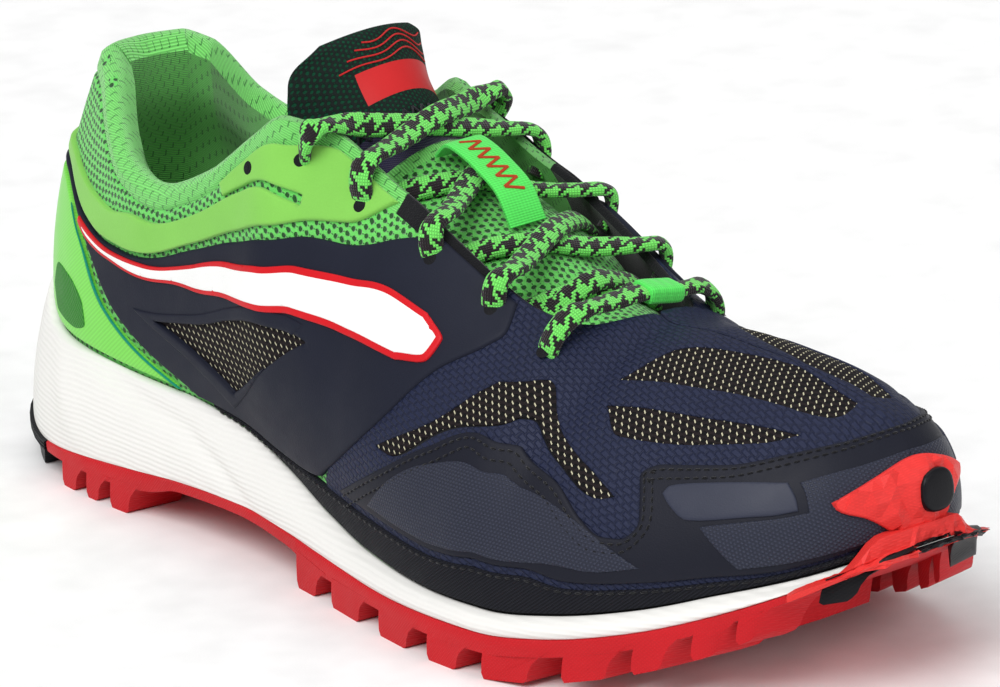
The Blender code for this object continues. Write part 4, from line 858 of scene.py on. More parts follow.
def lengths(path: Array) -> Array:
    """Distance of each point along a path."""
    return np.concatenate([[0], np.cumsum(np.linalg.norm(np.diff(path, axis=0), axis=1))])


def stepped(path: Array, steps: int, *others: Array) -> list[Array]:
    """Equal steps along a path.

    Args:
        path: its points.
        steps: how many to give.
        others: values at the same points, carried along.

    Returns:
        The points and the other values.
    """
    long = lengths(path)
    at = np.linspace(0, long[-1], steps)
    return [
        np.column_stack([monotone(np.column_stack([long, values[:, k]]), 1, at) for k in range(values.shape[1])])
        for values in (path, *others)
    ]


def relaxed(path: Array, rounds: int) -> Array:
    """The path with its bends eased and its ends kept."""
    path = path.copy()
    for _ in range(rounds):
        path[1:-1] = (path[:-2] + 2 * path[1:-1] + path[2:]) / 4
    return path


def ribbon(
    path: Array, flat: Array, wide: Array | float, thick: Array | float, around: int = 20, square: float = 2.6
) -> Shape:
    """A soft flat cord.

    Args:
        path: points along its middle.
        flat: direction across its width at each point.
        wide: its width.
        thick: its thickness.
        around: points round each ring.
        square: how boxy its section is, with 2 for an oval.

    Returns:
        Points, faces and surface coordinates, with the seam below.
    """
    ahead = unit(np.gradient(path, axis=0))
    flat = unit(flat - np.sum(flat * ahead, axis=-1, keepdims=True) * ahead)
    above = np.cross(ahead, flat)
    angle = np.arange(around) * 2 * math.pi / around - math.pi / 2
    wide, thick = (np.broadcast_to(np.reshape(size, (-1, 1)), (len(path), 1)) for size in (wide, thick))
    u = np.sign(np.cos(angle)) * np.abs(np.cos(angle)) ** (2 / square) * wide / 2
    v = np.sign(np.sin(angle)) * np.abs(np.sin(angle)) ** (2 / square) * thick / 2
    rings = path[:, None] + u[..., None] * flat[:, None] + v[..., None] * above[:, None]
    girth = lengths(rings[len(path) // 2])
    cloth = np.stack(np.broadcast_arrays(lengths(path)[:, None], girth[None]), -1)
    return *tube(rings), cloth.reshape(-1, 2)


def thread(line: Array, out: Array, wide: float = 0.0005, off: float = 0.0002) -> Shape:
    """A thin thread that lies on a surface.

    Args:
        line: points along it.
        out: direction out of the surface at each.
        wide: its width.
        off: how far its middle is off the surface.

    Returns:
        The closed shape.
    """
    return ribbon(line + off * out, np.cross(out, unit(np.gradient(line, axis=0))), wide, THREAD_THICKNESS, 6, 2.0)


PLANE = np.array([0.42, 0.080])
FACET_DEPTH = 0.0017


def edge_points(edge: Edge, cell: float) -> Array:
    """Points along a smooth curve through one edge's table, in the panel plane."""
    table = np.asarray(edge, float) * PLANE
    long = lengths(table)
    at = np.linspace(0, long[-1], max(1, round(long[-1] / cell)) + 1)
    if len(table) == 2:
        return table[0] + (table[1] - table[0]) * (at / long[-1])[:, None]
    rows = np.column_stack([long, table])
    return np.column_stack([monotone(rows, 1, at), monotone(rows, 2, at)])


def loop_of(edges: Sequence[Edge], cell: float) -> Array:
    """Closed outline in the panel plane."""
    return np.concatenate([edge_points(edge, cell)[:-1] for edge in edges])


def drawn_in(loop: Array, distance: float) -> Array:
    """The outline moved inward."""
    after, before = np.roll(loop, -1, axis=0) - loop, loop - np.roll(loop, 1, axis=0)
    area = np.sum(loop[:, 0] * np.roll(loop[:, 1], -1) - np.roll(loop[:, 0], -1) * loop[:, 1])
    mean = sum(np.column_stack([-step[:, 1], step[:, 0]]) for step in map(unit, (before, after))) * np.sign(area)
    reach = np.maximum(np.linalg.norm(mean, axis=1) / 2, 0.6)
    return loop + unit(mean) * (distance / reach)[:, None]


def within(loop: Array, points: Array) -> tuple[Array, Array]:
    """Where points lie from a closed outline.

    Args:
        loop: the outline.
        points: places in its plane.

    Returns:
        Whether each is inside, and its distance from the line.
    """
    ends = np.roll(loop, -1, axis=0)
    odd = np.zeros(len(points), bool)
    near = np.full(len(points), np.inf)
    for start, end in zip(loop, ends):
        step = end - start
        if step[1]:
            crosses = (start[1] > points[:, 1]) != (end[1] > points[:, 1])
            odd ^= crosses & (start[0] + (points[:, 1] - start[1]) * step[0] / step[1] > points[:, 0])
        share = np.clip((points - start) @ step / max(step @ step, 1e-18), 0, 1)
        near = np.minimum(near, np.linalg.norm(start + share[:, None] * step - points, axis=1))
    return odd, near


def mirrored(edges: Sequence[Edge]) -> tuple[Edge, ...]:
    """The same outline on the other side, walked the other way."""
    return tuple(tuple((2 - turn, rise) for turn, rise in edge[::-1]) for edge in edges[::-1])


def around_heel(edges: Sequence[Edge]) -> tuple[Edge, ...]:
    """A half outline from the heel's middle, closed by its mirror image. Turns below 0 are medial."""
    return tuple(edges) + tuple(tuple((-turn, rise) for turn, rise in edge[::-1]) for edge in edges[::-1])


def around_toe(upward: Sequence[Edge], foot: Sequence[Edge]) -> tuple[Edge, ...]:
    """Edges that reach the toe's middle on the lateral side, carried on over to the medial side."""
    return (*upward, *mirrored(upward), *mirrored(foot), *foot)


def unwrapped(points: Array, faces: Sequence[Sequence[int]]) -> Array:
    """Flat coordinates of a curved sheet, in metres, with the first along the shoe.

    Args:
        points: corners of the sheet.
        faces: its faces.

    Returns:
        Two coordinates for each point.
    """
    mesh = bpy.data.meshes.new("flattening")
    mesh.from_pydata(points.tolist(), [], [list(face) for face in faces])
    thing = bpy.data.objects.new("flattening", mesh)
    bpy.context.scene.collection.objects.link(thing)
    bpy.context.view_layer.objects.active = thing
    thing.select_set(True)
    mesh.uv_layers.new(name="flat")
    bpy.ops.object.mode_set(mode="EDIT")
    bpy.ops.mesh.select_all(action="SELECT")
    bpy.ops.uv.unwrap(method="ANGLE_BASED", margin=0.0)
    bpy.ops.object.mode_set(mode="OBJECT")
    flat = np.zeros(len(mesh.loops) * 2)
    mesh.uv_layers[0].data.foreach_get("uv", flat)
    corner = np.zeros(len(mesh.loops), np.int64)
    mesh.loops.foreach_get("vertex_index", corner)
    uv = np.zeros((len(points), 2))
    uv[corner] = flat.reshape(-1, 2)
    bpy.data.objects.remove(thing)
    bpy.data.meshes.remove(mesh)
    three = np.array([face[:3] for face in faces])
    a, b, c = (points[three[:, k]] for k in range(3))
    real = np.linalg.norm(np.cross(b - a, c - a), axis=1).sum()
    p, q, r = (uv[three[:, k]] for k in range(3))
    drawn = np.abs((q - p)[:, 0] * (r - p)[:, 1] - (q - p)[:, 1] * (r - p)[:, 0]).sum()
    uv = (uv - uv.mean(axis=0)) * math.sqrt(real / drawn)
    forward = np.linalg.lstsq(uv, points[:, 0] - points[:, 0].mean(), rcond=None)[0]
    forward /= np.linalg.norm(forward)
    across = np.array([-forward[1], forward[0]])
    return np.column_stack([uv @ forward, uv @ across])


@dataclass(frozen=True)
class Panel:
    """A thin overlay cut to a closed outline and laid on the upper, with rounded edges."""

    name: str
    edges: tuple[Edge, ...]
    look: Look
    slot: str
    nodes: tuple[str, ...] = ()
    under: float = 0.00005
    over: float = 0.0013
    holes: tuple[tuple[Edge, ...], ...] = ()
    cell: float = 0.0017
    rounding: float = 0.0007
    gap: float = 0.0001

    def net(self) -> tuple[Array, list[tuple[int, ...]], Array]:
        """The cut sheet in the panel plane.

        Returns:
            Its points, its triangles and each point's distance from the nearest edge.
        """
        loops = [drawn_in(loop_of(self.edges, self.cell * 0.6), self.gap)]
        loops += [loop_of(hole, self.cell * 0.6) for hole in self.holes]
        outer = loops[0]
        low, high = outer.min(axis=0), outer.max(axis=0)
        rows = np.arange(low[1], high[1], self.cell * 0.87)
        shift = np.where(np.arange(len(rows)) % 2 == 1, self.cell / 2, 0.0)
        line = np.arange(low[0], high[0], self.cell)
        spots = [np.concatenate([np.column_stack([line + step, 0 * line + y]) for y, step in zip(rows, shift)])]
        margins = [np.full(len(spots[0]), self.rounding * 1.6)]
        for share in (0.22, 0.6, 1.1):
            reach = self.rounding * share
            ring = np.concatenate([drawn_in(outer, reach), *(drawn_in(hole, -reach) for hole in loops[1:])])
            spots.append(ring)
            margins.append(np.full(len(ring), reach * 0.85))
        spots, margins = np.concatenate(spots), np.concatenate(margins)
        kept, near = within(outer, spots)
        for hole in loops[1:]:
            inside, close = within(hole, spots)
            kept, near = kept & ~inside, np.minimum(near, close)
        spots = spots[kept & (near > margins)]
        flat, segments = [], []
        for loop in loops:
            start = len(flat)
            flat += [Vector(point) for point in loop]
            segments += [(start + i, start + (i + 1) % len(loop)) for i in range(len(loop))]
        flat += [Vector(point) for point in spots]
        corners, _, cut, _, _, _ = delaunay_2d_cdt(flat, segments, [], 0, 1e-7)
        plane = np.array([tuple(corner) for corner in corners])
        cut = np.array(cut)
        middles = plane[cut].mean(axis=1)
        kept = within(outer, middles)[0]
        for hole in loops[1:]:
            kept &= ~within(hole, middles)[0]
        cut = [tuple(int(i) for i in face) for face in cut[kept]]
        near = np.min([within(loop, plane)[1] for loop in loops], axis=0)
        return plane, cut, near

    def lift(self, plane: Array, near: Array) -> Array:
        """Height of the top face off the upper."""
        share = np.clip(near / self.rounding, 0, 1)
        return self.under + (self.over - self.under) * (0.35 + 0.65 * np.sqrt(1 - (1 - share) ** 2))

    def build(self) -> Object:
        """Lays the sheet on the last and closes it.

        Returns:
            The finished piece.
        """
        plane, cut, near = self.net()
        turn, rise = plane[:, 0] / PLANE[0], plane[:, 1] / PLANE[1]
        base, out = last.surface(turn, rise), last.normal(turn, rise)
        top = base + self.lift(plane, near)[:, None] * out
        bottom = base + self.under * out
        count = len(plane)
        owners: dict[tuple[int, ...], list[tuple[int, int]]] = {}
        for face in cut:
            for start, end in zip(face, face[1:] + face[:1]):
                owners.setdefault(tuple(sorted((start, end))), []).append((start, end))
        faces = list(cut) + [tuple(index + count for index in face[::-1]) for face in cut]
        for sides in owners.values():
            if len(sides) == 1:
                start, end = sides[0]
                faces.append((end, start, start + count, end + count))
        cloth = np.column_stack([unwrapped(base, cut), near])
        piece = mesh_object(self.name, np.concatenate([top, bottom]), faces, self.look, np.concatenate([cloth, cloth]))
        return finished(piece, self.slot, *self.nodes)


def pair(name: str, edges: Sequence[Edge], look: Look, slot: str, *nodes: str, **sizes: object) -> None:
    """The same panel on the lateral and on the medial side.

    Args:
        name: the pieces' name without the side.
        edges: the lateral outline.
        look: their finish.
        slot: their colour slot; not used.
        nodes: the solids that they stand for, without the side.
        sizes: other settings of the panel.
    """
    holes = sizes.pop("holes", ())
    for side, turned in (("lateral", tuple), ("medial", mirrored)):
        stood_for = tuple(f"{node}_{side}" for node in nodes)
        cut = tuple(turned(hole) for hole in holes)
        Panel(f"{name}_{side}", turned(edges), look, slot, stood_for, holes=cut, **sizes).build()


def scattered(values: Array) -> Array:
    """A fixed scatter from 0 to 1, the same on each run."""
    return np.abs(np.modf(np.sin(values) * 437.585)[0])


class Faceted(Panel):
    """A thick overlay broken into flat facets."""

    def lift(self, plane: Array, near: Array) -> Array:
        """Height of the top face, with a fixed scatter away from its edge."""
        facets = scattered(plane @ (12989.8, 78233.0)) * FACET_DEPTH
        return super().lift(plane, near) + np.where(near > 1.3 * self.rounding, facets, 0.0)

    def build(self) -> Object:
        """Lays the sheet and leaves its facets flat."""
        piece = super().build()
        piece.data.shade_flat()
        return piece


COUNTER = (
    ((0.0, 0.560), (0.12, 0.555), (0.185, 0.535)),
    ((0.185, 0.535), (0.23, 0.47), (0.28, 0.27), (0.318, 0.14), (0.352, 0.050)),
    ((0.352, 0.050), (0.268, 0.058), (0.18, 0.066), (0.12, 0.118), (0.0, 0.152)),
)
COLLAR_BAND = (
    ((-0.425, 0.835), (-0.378, 0.87), (-0.318, 0.87), (-0.268, 0.78), (-0.22, 0.72), (-0.16, 0.665),
     (0.0, 0.680), (0.16, 0.665), (0.22, 0.72), (0.268, 0.78), (0.318, 0.87), (0.378, 0.87), (0.43, 0.83),
     (0.468, 0.785)),
    ((0.468, 0.785), (0.468, 0.81)),
    ((0.468, 0.81), (0.405, 0.865)),
    ((0.405, 0.865), (0.40, 0.93)),
    ((0.40, 0.93), (0.42, 0.935), (0.45, 0.935), (0.478, 0.965)),
    ((0.478, 0.965), (0.518, 0.965)),
    ((0.518, 0.965), (0.497, 0.82), (0.438, 0.705), (0.378, 0.745), (0.292, 0.65), (0.242, 0.605),
     (0.19, 0.597), (0.12, 0.617), (0.0, 0.625), (-0.12, 0.617), (-0.19, 0.597), (-0.242, 0.605),
     (-0.292, 0.65), (-0.378, 0.745), (-0.425, 0.725)),
    ((-0.425, 0.725), (-0.425, 0.835)),
)
SADDLE = (
    ((0.06, 0.602), (0.12, 0.597), (0.19, 0.578), (0.242, 0.588), (0.292, 0.63), (0.378, 0.72), (0.438, 0.67),
     (0.495, 0.76), (0.545, 0.955)),
    ((0.545, 0.955), (0.552, 0.972), (0.598, 0.972)),
    ((0.598, 0.972), (0.602, 0.86), (0.598, 0.80), (0.58, 0.66), (0.555, 0.46), (0.503, 0.19)),
    ((0.503, 0.19), (0.495, 0.15), (0.43, 0.062), (0.372, 0.045)),
    ((0.372, 0.045), (0.335, 0.15), (0.297, 0.28), (0.247, 0.48), (0.200, 0.552), (0.12, 0.573),
     (0.06, 0.578)),
    ((0.06, 0.578), (0.06, 0.602)),
)
STRIPE = (
    ((0.212, 0.570), (0.235, 0.577), (0.275, 0.596), (0.332, 0.648), (0.384, 0.655), (0.439, 0.600),
     (0.475, 0.638), (0.507, 0.706), (0.540, 0.765), (0.563, 0.775)),
    ((0.563, 0.775), (0.577, 0.740), (0.574, 0.670), (0.555, 0.615)),
    ((0.555, 0.615), (0.508, 0.570), (0.478, 0.520), (0.440, 0.480), (0.400, 0.515), (0.353, 0.570),
     (0.300, 0.556), (0.262, 0.538), (0.235, 0.532), (0.212, 0.544)),
    ((0.212, 0.544), (0.212, 0.570)),
)
MUDGUARD_TOP = (
    ((0.515, 0.172), (0.56, 0.34), (0.59, 0.47), (0.613, 0.56), (0.635, 0.51), (0.672, 0.44), (0.700, 0.345),
     (0.716, 0.305), (0.729, 0.300), (0.737, 0.34), (0.731, 0.42), (0.724, 0.49), (0.738, 0.525),
     (0.79, 0.53), (0.865, 0.62), (0.93, 0.70), (1.0, 0.74)),
)
MUDGUARD_FOOT = (
    ((1.0, 0.094), (0.91, 0.088), (0.855, 0.084), (0.79, 0.118), (0.753, 0.137), (0.70, 0.157), (0.67, 0.192),
     (0.628, 0.187), (0.583, 0.187), (0.527, 0.177), (0.515, 0.172)),
)
RAND = (
    ((0.385, 0.050), (0.43, 0.056), (0.495, 0.135), (0.527, 0.158), (0.583, 0.168), (0.628, 0.168),
     (0.67, 0.173), (0.70, 0.138), (0.753, 0.118), (0.79, 0.099), (0.855, 0.070), (0.91, 0.074), (1.0, 0.078)),
    ((1.0, 0.034), (0.91, 0.034), (0.70, 0.036), (0.50, 0.034), (0.385, 0.034)),
    ((0.385, 0.034), (0.385, 0.050)),
)
BUMPER = (
    ((0.892, 0.365), (0.934, 0.450), (0.983, 0.520), (1.0, 0.530)),
    ((1.0, 0.045), (0.965, 0.045), (0.94, 0.050)),
    ((0.94, 0.050), (0.963, 0.12)),
    ((0.963, 0.12), (0.930, 0.245), (0.898, 0.325), (0.892, 0.365)),
)
EYESTAY_MEDIAL = (
    ((1.455, 0.955), (1.505, 0.80), (1.532, 0.84)),
    ((1.532, 0.84), (1.526, 0.965)),
    ((1.526, 0.965), (1.482, 0.965), (1.455, 0.955)),
)
FILM = (
    ((0.50, 0.16), (0.515, 0.30), (0.575, 0.70), (0.590, 0.995)),
    ((0.590, 0.995), (0.64, 0.999)),
    ((0.64, 0.999), (0.64, 1.0)),
    ((0.64, 1.0), (1.0, 1.0)),
)
FILM_FOOT = (((1.0, 0.05), (0.75, 0.05), (0.60, 0.06), (0.50, 0.06)), ((0.50, 0.06), (0.50, 0.16)))
BENT_WINDOW = (
    ((0.552, 0.38), (0.590, 0.55), (0.610, 0.72)),
    ((0.610, 0.72), (0.623, 0.74), (0.642, 0.62), (0.713, 0.42)),
    ((0.713, 0.42), (0.703, 0.41), (0.665, 0.49), (0.628, 0.60)),
    ((0.628, 0.60), (0.608, 0.57), (0.560, 0.38), (0.552, 0.38)),
)
TOP_WINDOW = (
    ((0.667, 0.74), (0.690, 0.88), (0.75, 0.95), (0.82, 0.985)),
    ((0.82, 0.985), (0.87, 0.96), (0.930, 0.91)),
    ((0.930, 0.91), (0.875, 0.78), (0.770, 0.78), (0.667, 0.74)),
)
SIDE_WINDOW = (
    ((0.672, 0.66), (0.745, 0.68), (0.850, 0.68)),
    ((0.850, 0.68), (0.815, 0.62), (0.750, 0.59)),
    ((0.750, 0.59), (0.695, 0.58), (0.672, 0.66)),
)
SADDLE_WINDOW = (
    ((0.340, 0.36), (0.487, 0.48)),
    ((0.487, 0.48), (0.413, 0.16)),
    ((0.413, 0.16), (0.340, 0.36)),
)
GROOVE = (
    ((0.316, 0.385), (0.40, 0.455), (0.486, 0.520)),
    ((0.486, 0.520), (0.455, 0.34), (0.410, 0.095)),
    ((0.410, 0.095), (0.360, 0.25), (0.316, 0.385)),
)
BALL_PATCH = (
    ((0.549, 0.207), (0.570, 0.333), (0.593, 0.425), (0.614, 0.470), (0.633, 0.432), (0.662, 0.405), (0.695, 0.345),
     (0.727, 0.262), (0.748, 0.195)),
    ((0.748, 0.195), (0.722, 0.190), (0.684, 0.212), (0.642, 0.207), (0.602, 0.207), (0.549, 0.207)),
)
TOE_PATCH = (
    ((0.818, 0.130), (0.783, 0.318)),
    ((0.783, 0.318), (0.838, 0.322), (0.873, 0.335)),
    ((0.873, 0.335), (0.868, 0.41), (0.860, 0.470)),
    ((0.860, 0.470), (0.908, 0.523), (0.986, 0.565), (1.0, 0.57)),
    ((1.0, 0.57), (1.0, 0.120)),
    ((1.0, 0.120), (0.93, 0.112), (0.87, 0.114), (0.818, 0.130)),
)
PLATE = (
    ((0.747, 0.433), (0.750, 0.458), (0.772, 0.467), (0.806, 0.467), (0.850, 0.470)),
    ((0.850, 0.470), (0.860, 0.40), (0.864, 0.345)),
    ((0.864, 0.345), (0.838, 0.333), (0.797, 0.333), (0.773, 0.343), (0.757, 0.39), (0.747, 0.433)),
)
OVAL = (
    ((0.165, 0.17), (0.178, 0.27), (0.215, 0.30), (0.245, 0.24), (0.250, 0.15), (0.225, 0.10), (0.185, 0.10),
     (0.165, 0.17)),
)
EYELETS = ((0.463, 0.90), (0.500, 0.88), (0.550, 0.90), (0.590, 0.90), (0.618, 0.84))
SPARE_EYELET = (0.430, 0.89)
PIPING_WIDTH = 0.0045
LUG_SLANT = 0.002
PAD_AT, PAD_REACH = (1.018, 0.31), (0.029, 0.115)


def oval_at(turn: float, rise: float, wide: float, tall: float) -> tuple[Edge, ...]:
    """An oval outline round a place, squared a little."""
    angles = np.linspace(0, 2 * math.pi, 25)
    across, up = (np.sign(wave) * np.abs(wave) ** 0.8 for wave in (np.cos(angles), np.sin(angles)))
    return (tuple(zip((turn + wide * across).tolist(), (rise + tall * up).tolist())),)


def seam(edges: Sequence[Edge], kept: Sequence[int], inset: float, height: float = 0.0014) -> Array:
    """A line inside some edges of an outline, off the upper.

    Args:
        edges: the outline.
        kept: which of its edges to follow, one after the other.
        inset: distance inside them.
        height: distance off the upper.

    Returns:
        Points along it.
    """
    cell = 0.0012
    starts = np.cumsum([0] + [len(edge_points(edge, cell)) - 1 for edge in edges])
    loop = drawn_in(loop_of(edges, cell), inset)
    rows = np.concatenate([loop[starts[index] : starts[index + 1]] for index in kept])[3:-3]
    return last.lifted(rows[:, 0] / PLANE[0], rows[:, 1] / PLANE[1], np.full(len(rows), height))


def grown(edges: Sequence[Edge], share: float) -> tuple[Edge, ...]:
    """An outline spread from its middle, so that an insert reaches under the edge that it shows in."""
    spots = np.array([point for edge in edges for point in edge])
    middle = spots.mean(axis=0)
    return tuple(tuple(tuple(middle + (np.array(point) - middle) * share) for point in edge) for edge in edges)


@dataclass(frozen=True)
class UpperBody:
    """The hollow fabric body with its padded collar, and the films and overlays on it."""

    columns: int = 320
    rim_steps: int = 7
    rim_width: float = 0.008
    rim_least: float = 0.0004
    seam_rise: float = 0.93
    seam_depth: float = 0.0007
    lining_end: float = 0.52
    film_start: float = 0.56
    eyelet_reach: float = 0.0016

    @property
    def rises(self) -> Array:
        """Rows of the body, closer together near the rim."""
        return np.concatenate([np.linspace(0, 0.9, 46), np.linspace(0.9, 1, 14)[1:]])

    def shell(self) -> Object:
        """The knit body and its lining.

        Returns:
            One closed piece with the finishes of its zones.
        """
        turns = np.arange(self.columns) * 2 / self.columns
        turn, rise = np.meshgrid(turns, self.rises)
        pad = (last.wall_at(turn, rise) - last.wall) / (last.collar_pad - last.wall)
        groove = np.exp(-(((rise - self.seam_rise) / 0.012) ** 2)) * pad * self.seam_depth
        outer = last.lifted(turn, rise, -groove)
        inner = last.lifted(turn, rise, -last.wall_at(turn, rise))
        inner[0, :, 2] = outer[0, :, 2]
        steps = np.linalg.norm(np.diff(outer, axis=0), axis=-1)
        girth = np.concatenate([0 * steps[:1], np.cumsum(steps, axis=0)])
        around = lengths(outer[30])
        cloth = np.stack([np.broadcast_to(around, girth.shape), girth], -1)
        rim, rim_cloth = [], []
        roll = self.rim_least + (last.collar_roll - self.rim_least) * pad[-1]
        for share in np.linspace(0, 1, self.rim_steps + 1)[1:-1]:
            rim.append(outer[-1] + (inner[-1] - outer[-1]) * share + (np.sin(math.pi * share) * roll)[:, None] * UP)
            rim_cloth.append(cloth[-1] + (0, self.rim_width * share))
        rows = [*outer, *rim, *inner[::-1]]
        down = girth[-1] + self.rim_width + girth[-1] - girth[::-1]
        cloths = [*cloth, *rim_cloth, *np.stack([np.broadcast_to(around, girth.shape), down], -1)]
        count = len(rows)
        faces = grid_faces(count, self.columns, wrap=True)
        last_row = (count - 1) * self.columns
        for i in range(self.columns):
            j = (i + 1) % self.columns
            faces.append((i, j, last_row + j, last_row + i))
        ridge = side_of(turns) > last.ridge_start + 1e-6
        high = len(outer) - 1
        kept = []
        for index, face in enumerate(faces):
            row, column = divmod(index, self.columns)
            if high <= row < high + self.rim_steps and (ridge[column] or ridge[(column + 1) % self.columns]):
                continue
            kept.append(face)
        piece = mesh_object("upper_body", np.concatenate(rows), kept, Look.MESH, np.concatenate(cloths))
        for look in (Look.LINING, Look.PAINTED_SHADE_LINING):
            piece.data.materials.append(look.value.material())
        self.assign(piece, rows, turns)
        finished(piece, "upper_mesh", "upper")
        return piece

    def assign(self, piece: Object, rows: list, turns: Array) -> None:
        """Gives the lining its finish on the rim and inside behind the throat, black painted shade on them ahead of it,
        and the same black on the outer forefoot hidden under the film.

        Args:
            piece: the welded body.
            rows: its rings of points before the weld.
            turns: the turn of each column.
        """
        keys = np.array([tuple(vertex.co) for vertex in piece.data.vertices]) - TO_FRAME
        flat = np.concatenate(rows)
        from_point = {}
        for index, point in enumerate(flat.round(6)):
            from_point.setdefault(tuple(point), index)
        owner = np.array([from_point.get(tuple(point), -1) for point in keys.round(6)])
        row, column = np.divmod(np.maximum(owner, 0), self.columns)
        side = side_of(turns[column])
        seam_row = int(np.argmin(np.abs(self.rises - self.seam_rise)))
        for face in piece.data.polygons:
            first = list(face.vertices)
            line, place = row[first].mean(), side[first].mean()
            if line > seam_row + 0.1:
                # Rows ahead of the lining's end get the black lining as painted shade inside the forefoot.
                face.material_index = 1 if place < self.lining_end else 2
            elif place > self.film_start:
                face.material_index = 2

    def overlays(self) -> None:
        """Every film and panel on the upper, with the inserts that show in their windows."""
        windows = {"bent": BENT_WINDOW, "top": TOP_WINDOW, "side": SIDE_WINDOW}
        holes = tuple(windows.values()) + tuple(mirrored(window) for window in windows.values())
        Panel("vamp_film", around_toe(FILM, FILM_FOOT), Look.VAMP_FILM, "upper_mesh", under=0.0001, over=0.0006,
              holes=holes, gap=0.0, cell=0.0020).build()
        for name, edges in windows.items():
            pair(f"window_{name}", grown(edges, 1.05), Look.WINDOW, "upper_mesh", over=0.00025, rounding=0.0003,
                 cell=0.0025)
        pair("saddle_panel", SADDLE, Look.NAVY_FILM, "navy_overlay", "saddle", holes=(SADDLE_WINDOW,))
        pair("window_saddle", grown(SADDLE_WINDOW, 1.08), Look.WINDOW, "navy_overlay", over=0.0004, rounding=0.0003,
             cell=0.0025)
        pair("stripe_edging", STRIPE, Look.EDGING, "stripe_film", under=0.0013, over=0.0019, rounding=0.0003)
        pair("stripe_white", STRIPE, Look.STRIPE, "stripe_film", "stripe", under=0.0013, over=0.0021, gap=0.0014,
             rounding=0.0003)
        for name, edges, look, slot, node, over in (
            ("counter_panel", around_heel(COUNTER), Look.FILM, "counter_film", "heel_counter", 0.0013),
            ("collar_band", COLLAR_BAND, Look.SUEDE, "lime_overlay", "collar_panel", 0.0013),
            ("eyestay_panel", EYESTAY_MEDIAL, Look.BLACK_FILM, "black_overlay", "eyestay_medial", 0.0013),
            ("guard_panel", around_toe(MUDGUARD_TOP, MUDGUARD_FOOT), Look.GUARD, "toe_overlay", "mudguard", 0.0013),
            ("rand_band", around_toe(RAND[:1], RAND[1:]), Look.RAND, "rand_twill", "rand", 0.0012),
        ):
            Panel(name, edges, look, slot, (node,), over=over).build()
        self.details()

    def details(self) -> None:
        """Raised patches, inserts, the toe bumper and black lenses of painted shade at the eyelets."""
        patch = {"under": 0.0012, "rounding": 0.0005, "cell": 0.0022}
        pair("saddle_frame", GROOVE, Look.NAVY_FILM, "navy_overlay", under=0.0011, over=0.0017,
             holes=(SADDLE_WINDOW,), rounding=0.0010)
        pair("ball_patch", BALL_PATCH, Look.DOTS, "toe_overlay", over=0.0016, **patch)
        pair("toe_patch", TOE_PATCH, Look.DOTS, "toe_overlay", over=0.0016, **patch)
        pair("toe_plate", PLATE, Look.PLATE, "toe_overlay", over=0.0018, **{**patch, "rounding": 0.0006})
        pair("counter_insert", OVAL, Look.OVAL, "counter_film", under=0.0011, over=0.0015, rounding=0.0005)
        front = COUNTER[1]
        ahead = tuple((turn + PIPING_WIDTH, rise) for turn, rise in front[::-1])
        strip = (front, (front[-1], ahead[0]), ahead, (ahead[-1], front[0]))
        pair("counter_piping", strip, Look.TEAL, "counter_film", under=0.0012, over=0.0016, rounding=0.0003, gap=0.0,
             cell=0.0012)
        lateral = (*BUMPER[1:], BUMPER[0])
        Faceted("bumper_shell", lateral + mirrored(lateral), Look.BUMPER, "bumper_rubber", ("toe_bumper",),
                over=0.0030, cell=0.0062, rounding=0.0011).build()
        Panel("badge_pad", oval_at(*PAD_AT, *PAD_REACH), Look.PAD, "black_rubber", ("bumper_pad",), under=0.0030,
              over=0.0054, rounding=0.0014, cell=0.0012).build()
        # Black lenses at each eyelet are painted shade where the lace dives into its hole.
        spots = [*EYELETS, SPARE_EYELET]
        spots += [(2 - turn, rise) for turn, rise in spots]
        bundle("eyelet_painted_shade", [self.hole(turn, rise) for turn, rise in spots], Look.BLACK_FILM, "black_overlay")

    def hole(self, turn: float, rise: float) -> Shape:
        """A small black lens at an eyelet: painted shade in its hole and under the lace there."""
        spot = np.array([turn]), np.array([rise])
        middle, out = last.surface(*spot)[0], last.normal(*spot)[0]
        flat = unit(np.cross(out, UP))
        lie = np.cross(out, flat)
        count = 16
        angles = (np.arange(count) * 2 * math.pi / count)[:, None]
        ring = middle + out * 0.0013 + self.eyelet_reach * (np.cos(angles) * flat + np.sin(angles) * lie)
        points = np.vstack([ring, middle + out * 0.0015, middle + out * 0.0008])
        faces = []
        for i in range(count):
            j = (i + 1) % count
            faces += [(i, j, count), (j, i, count + 1)]
        return plain(points, faces)


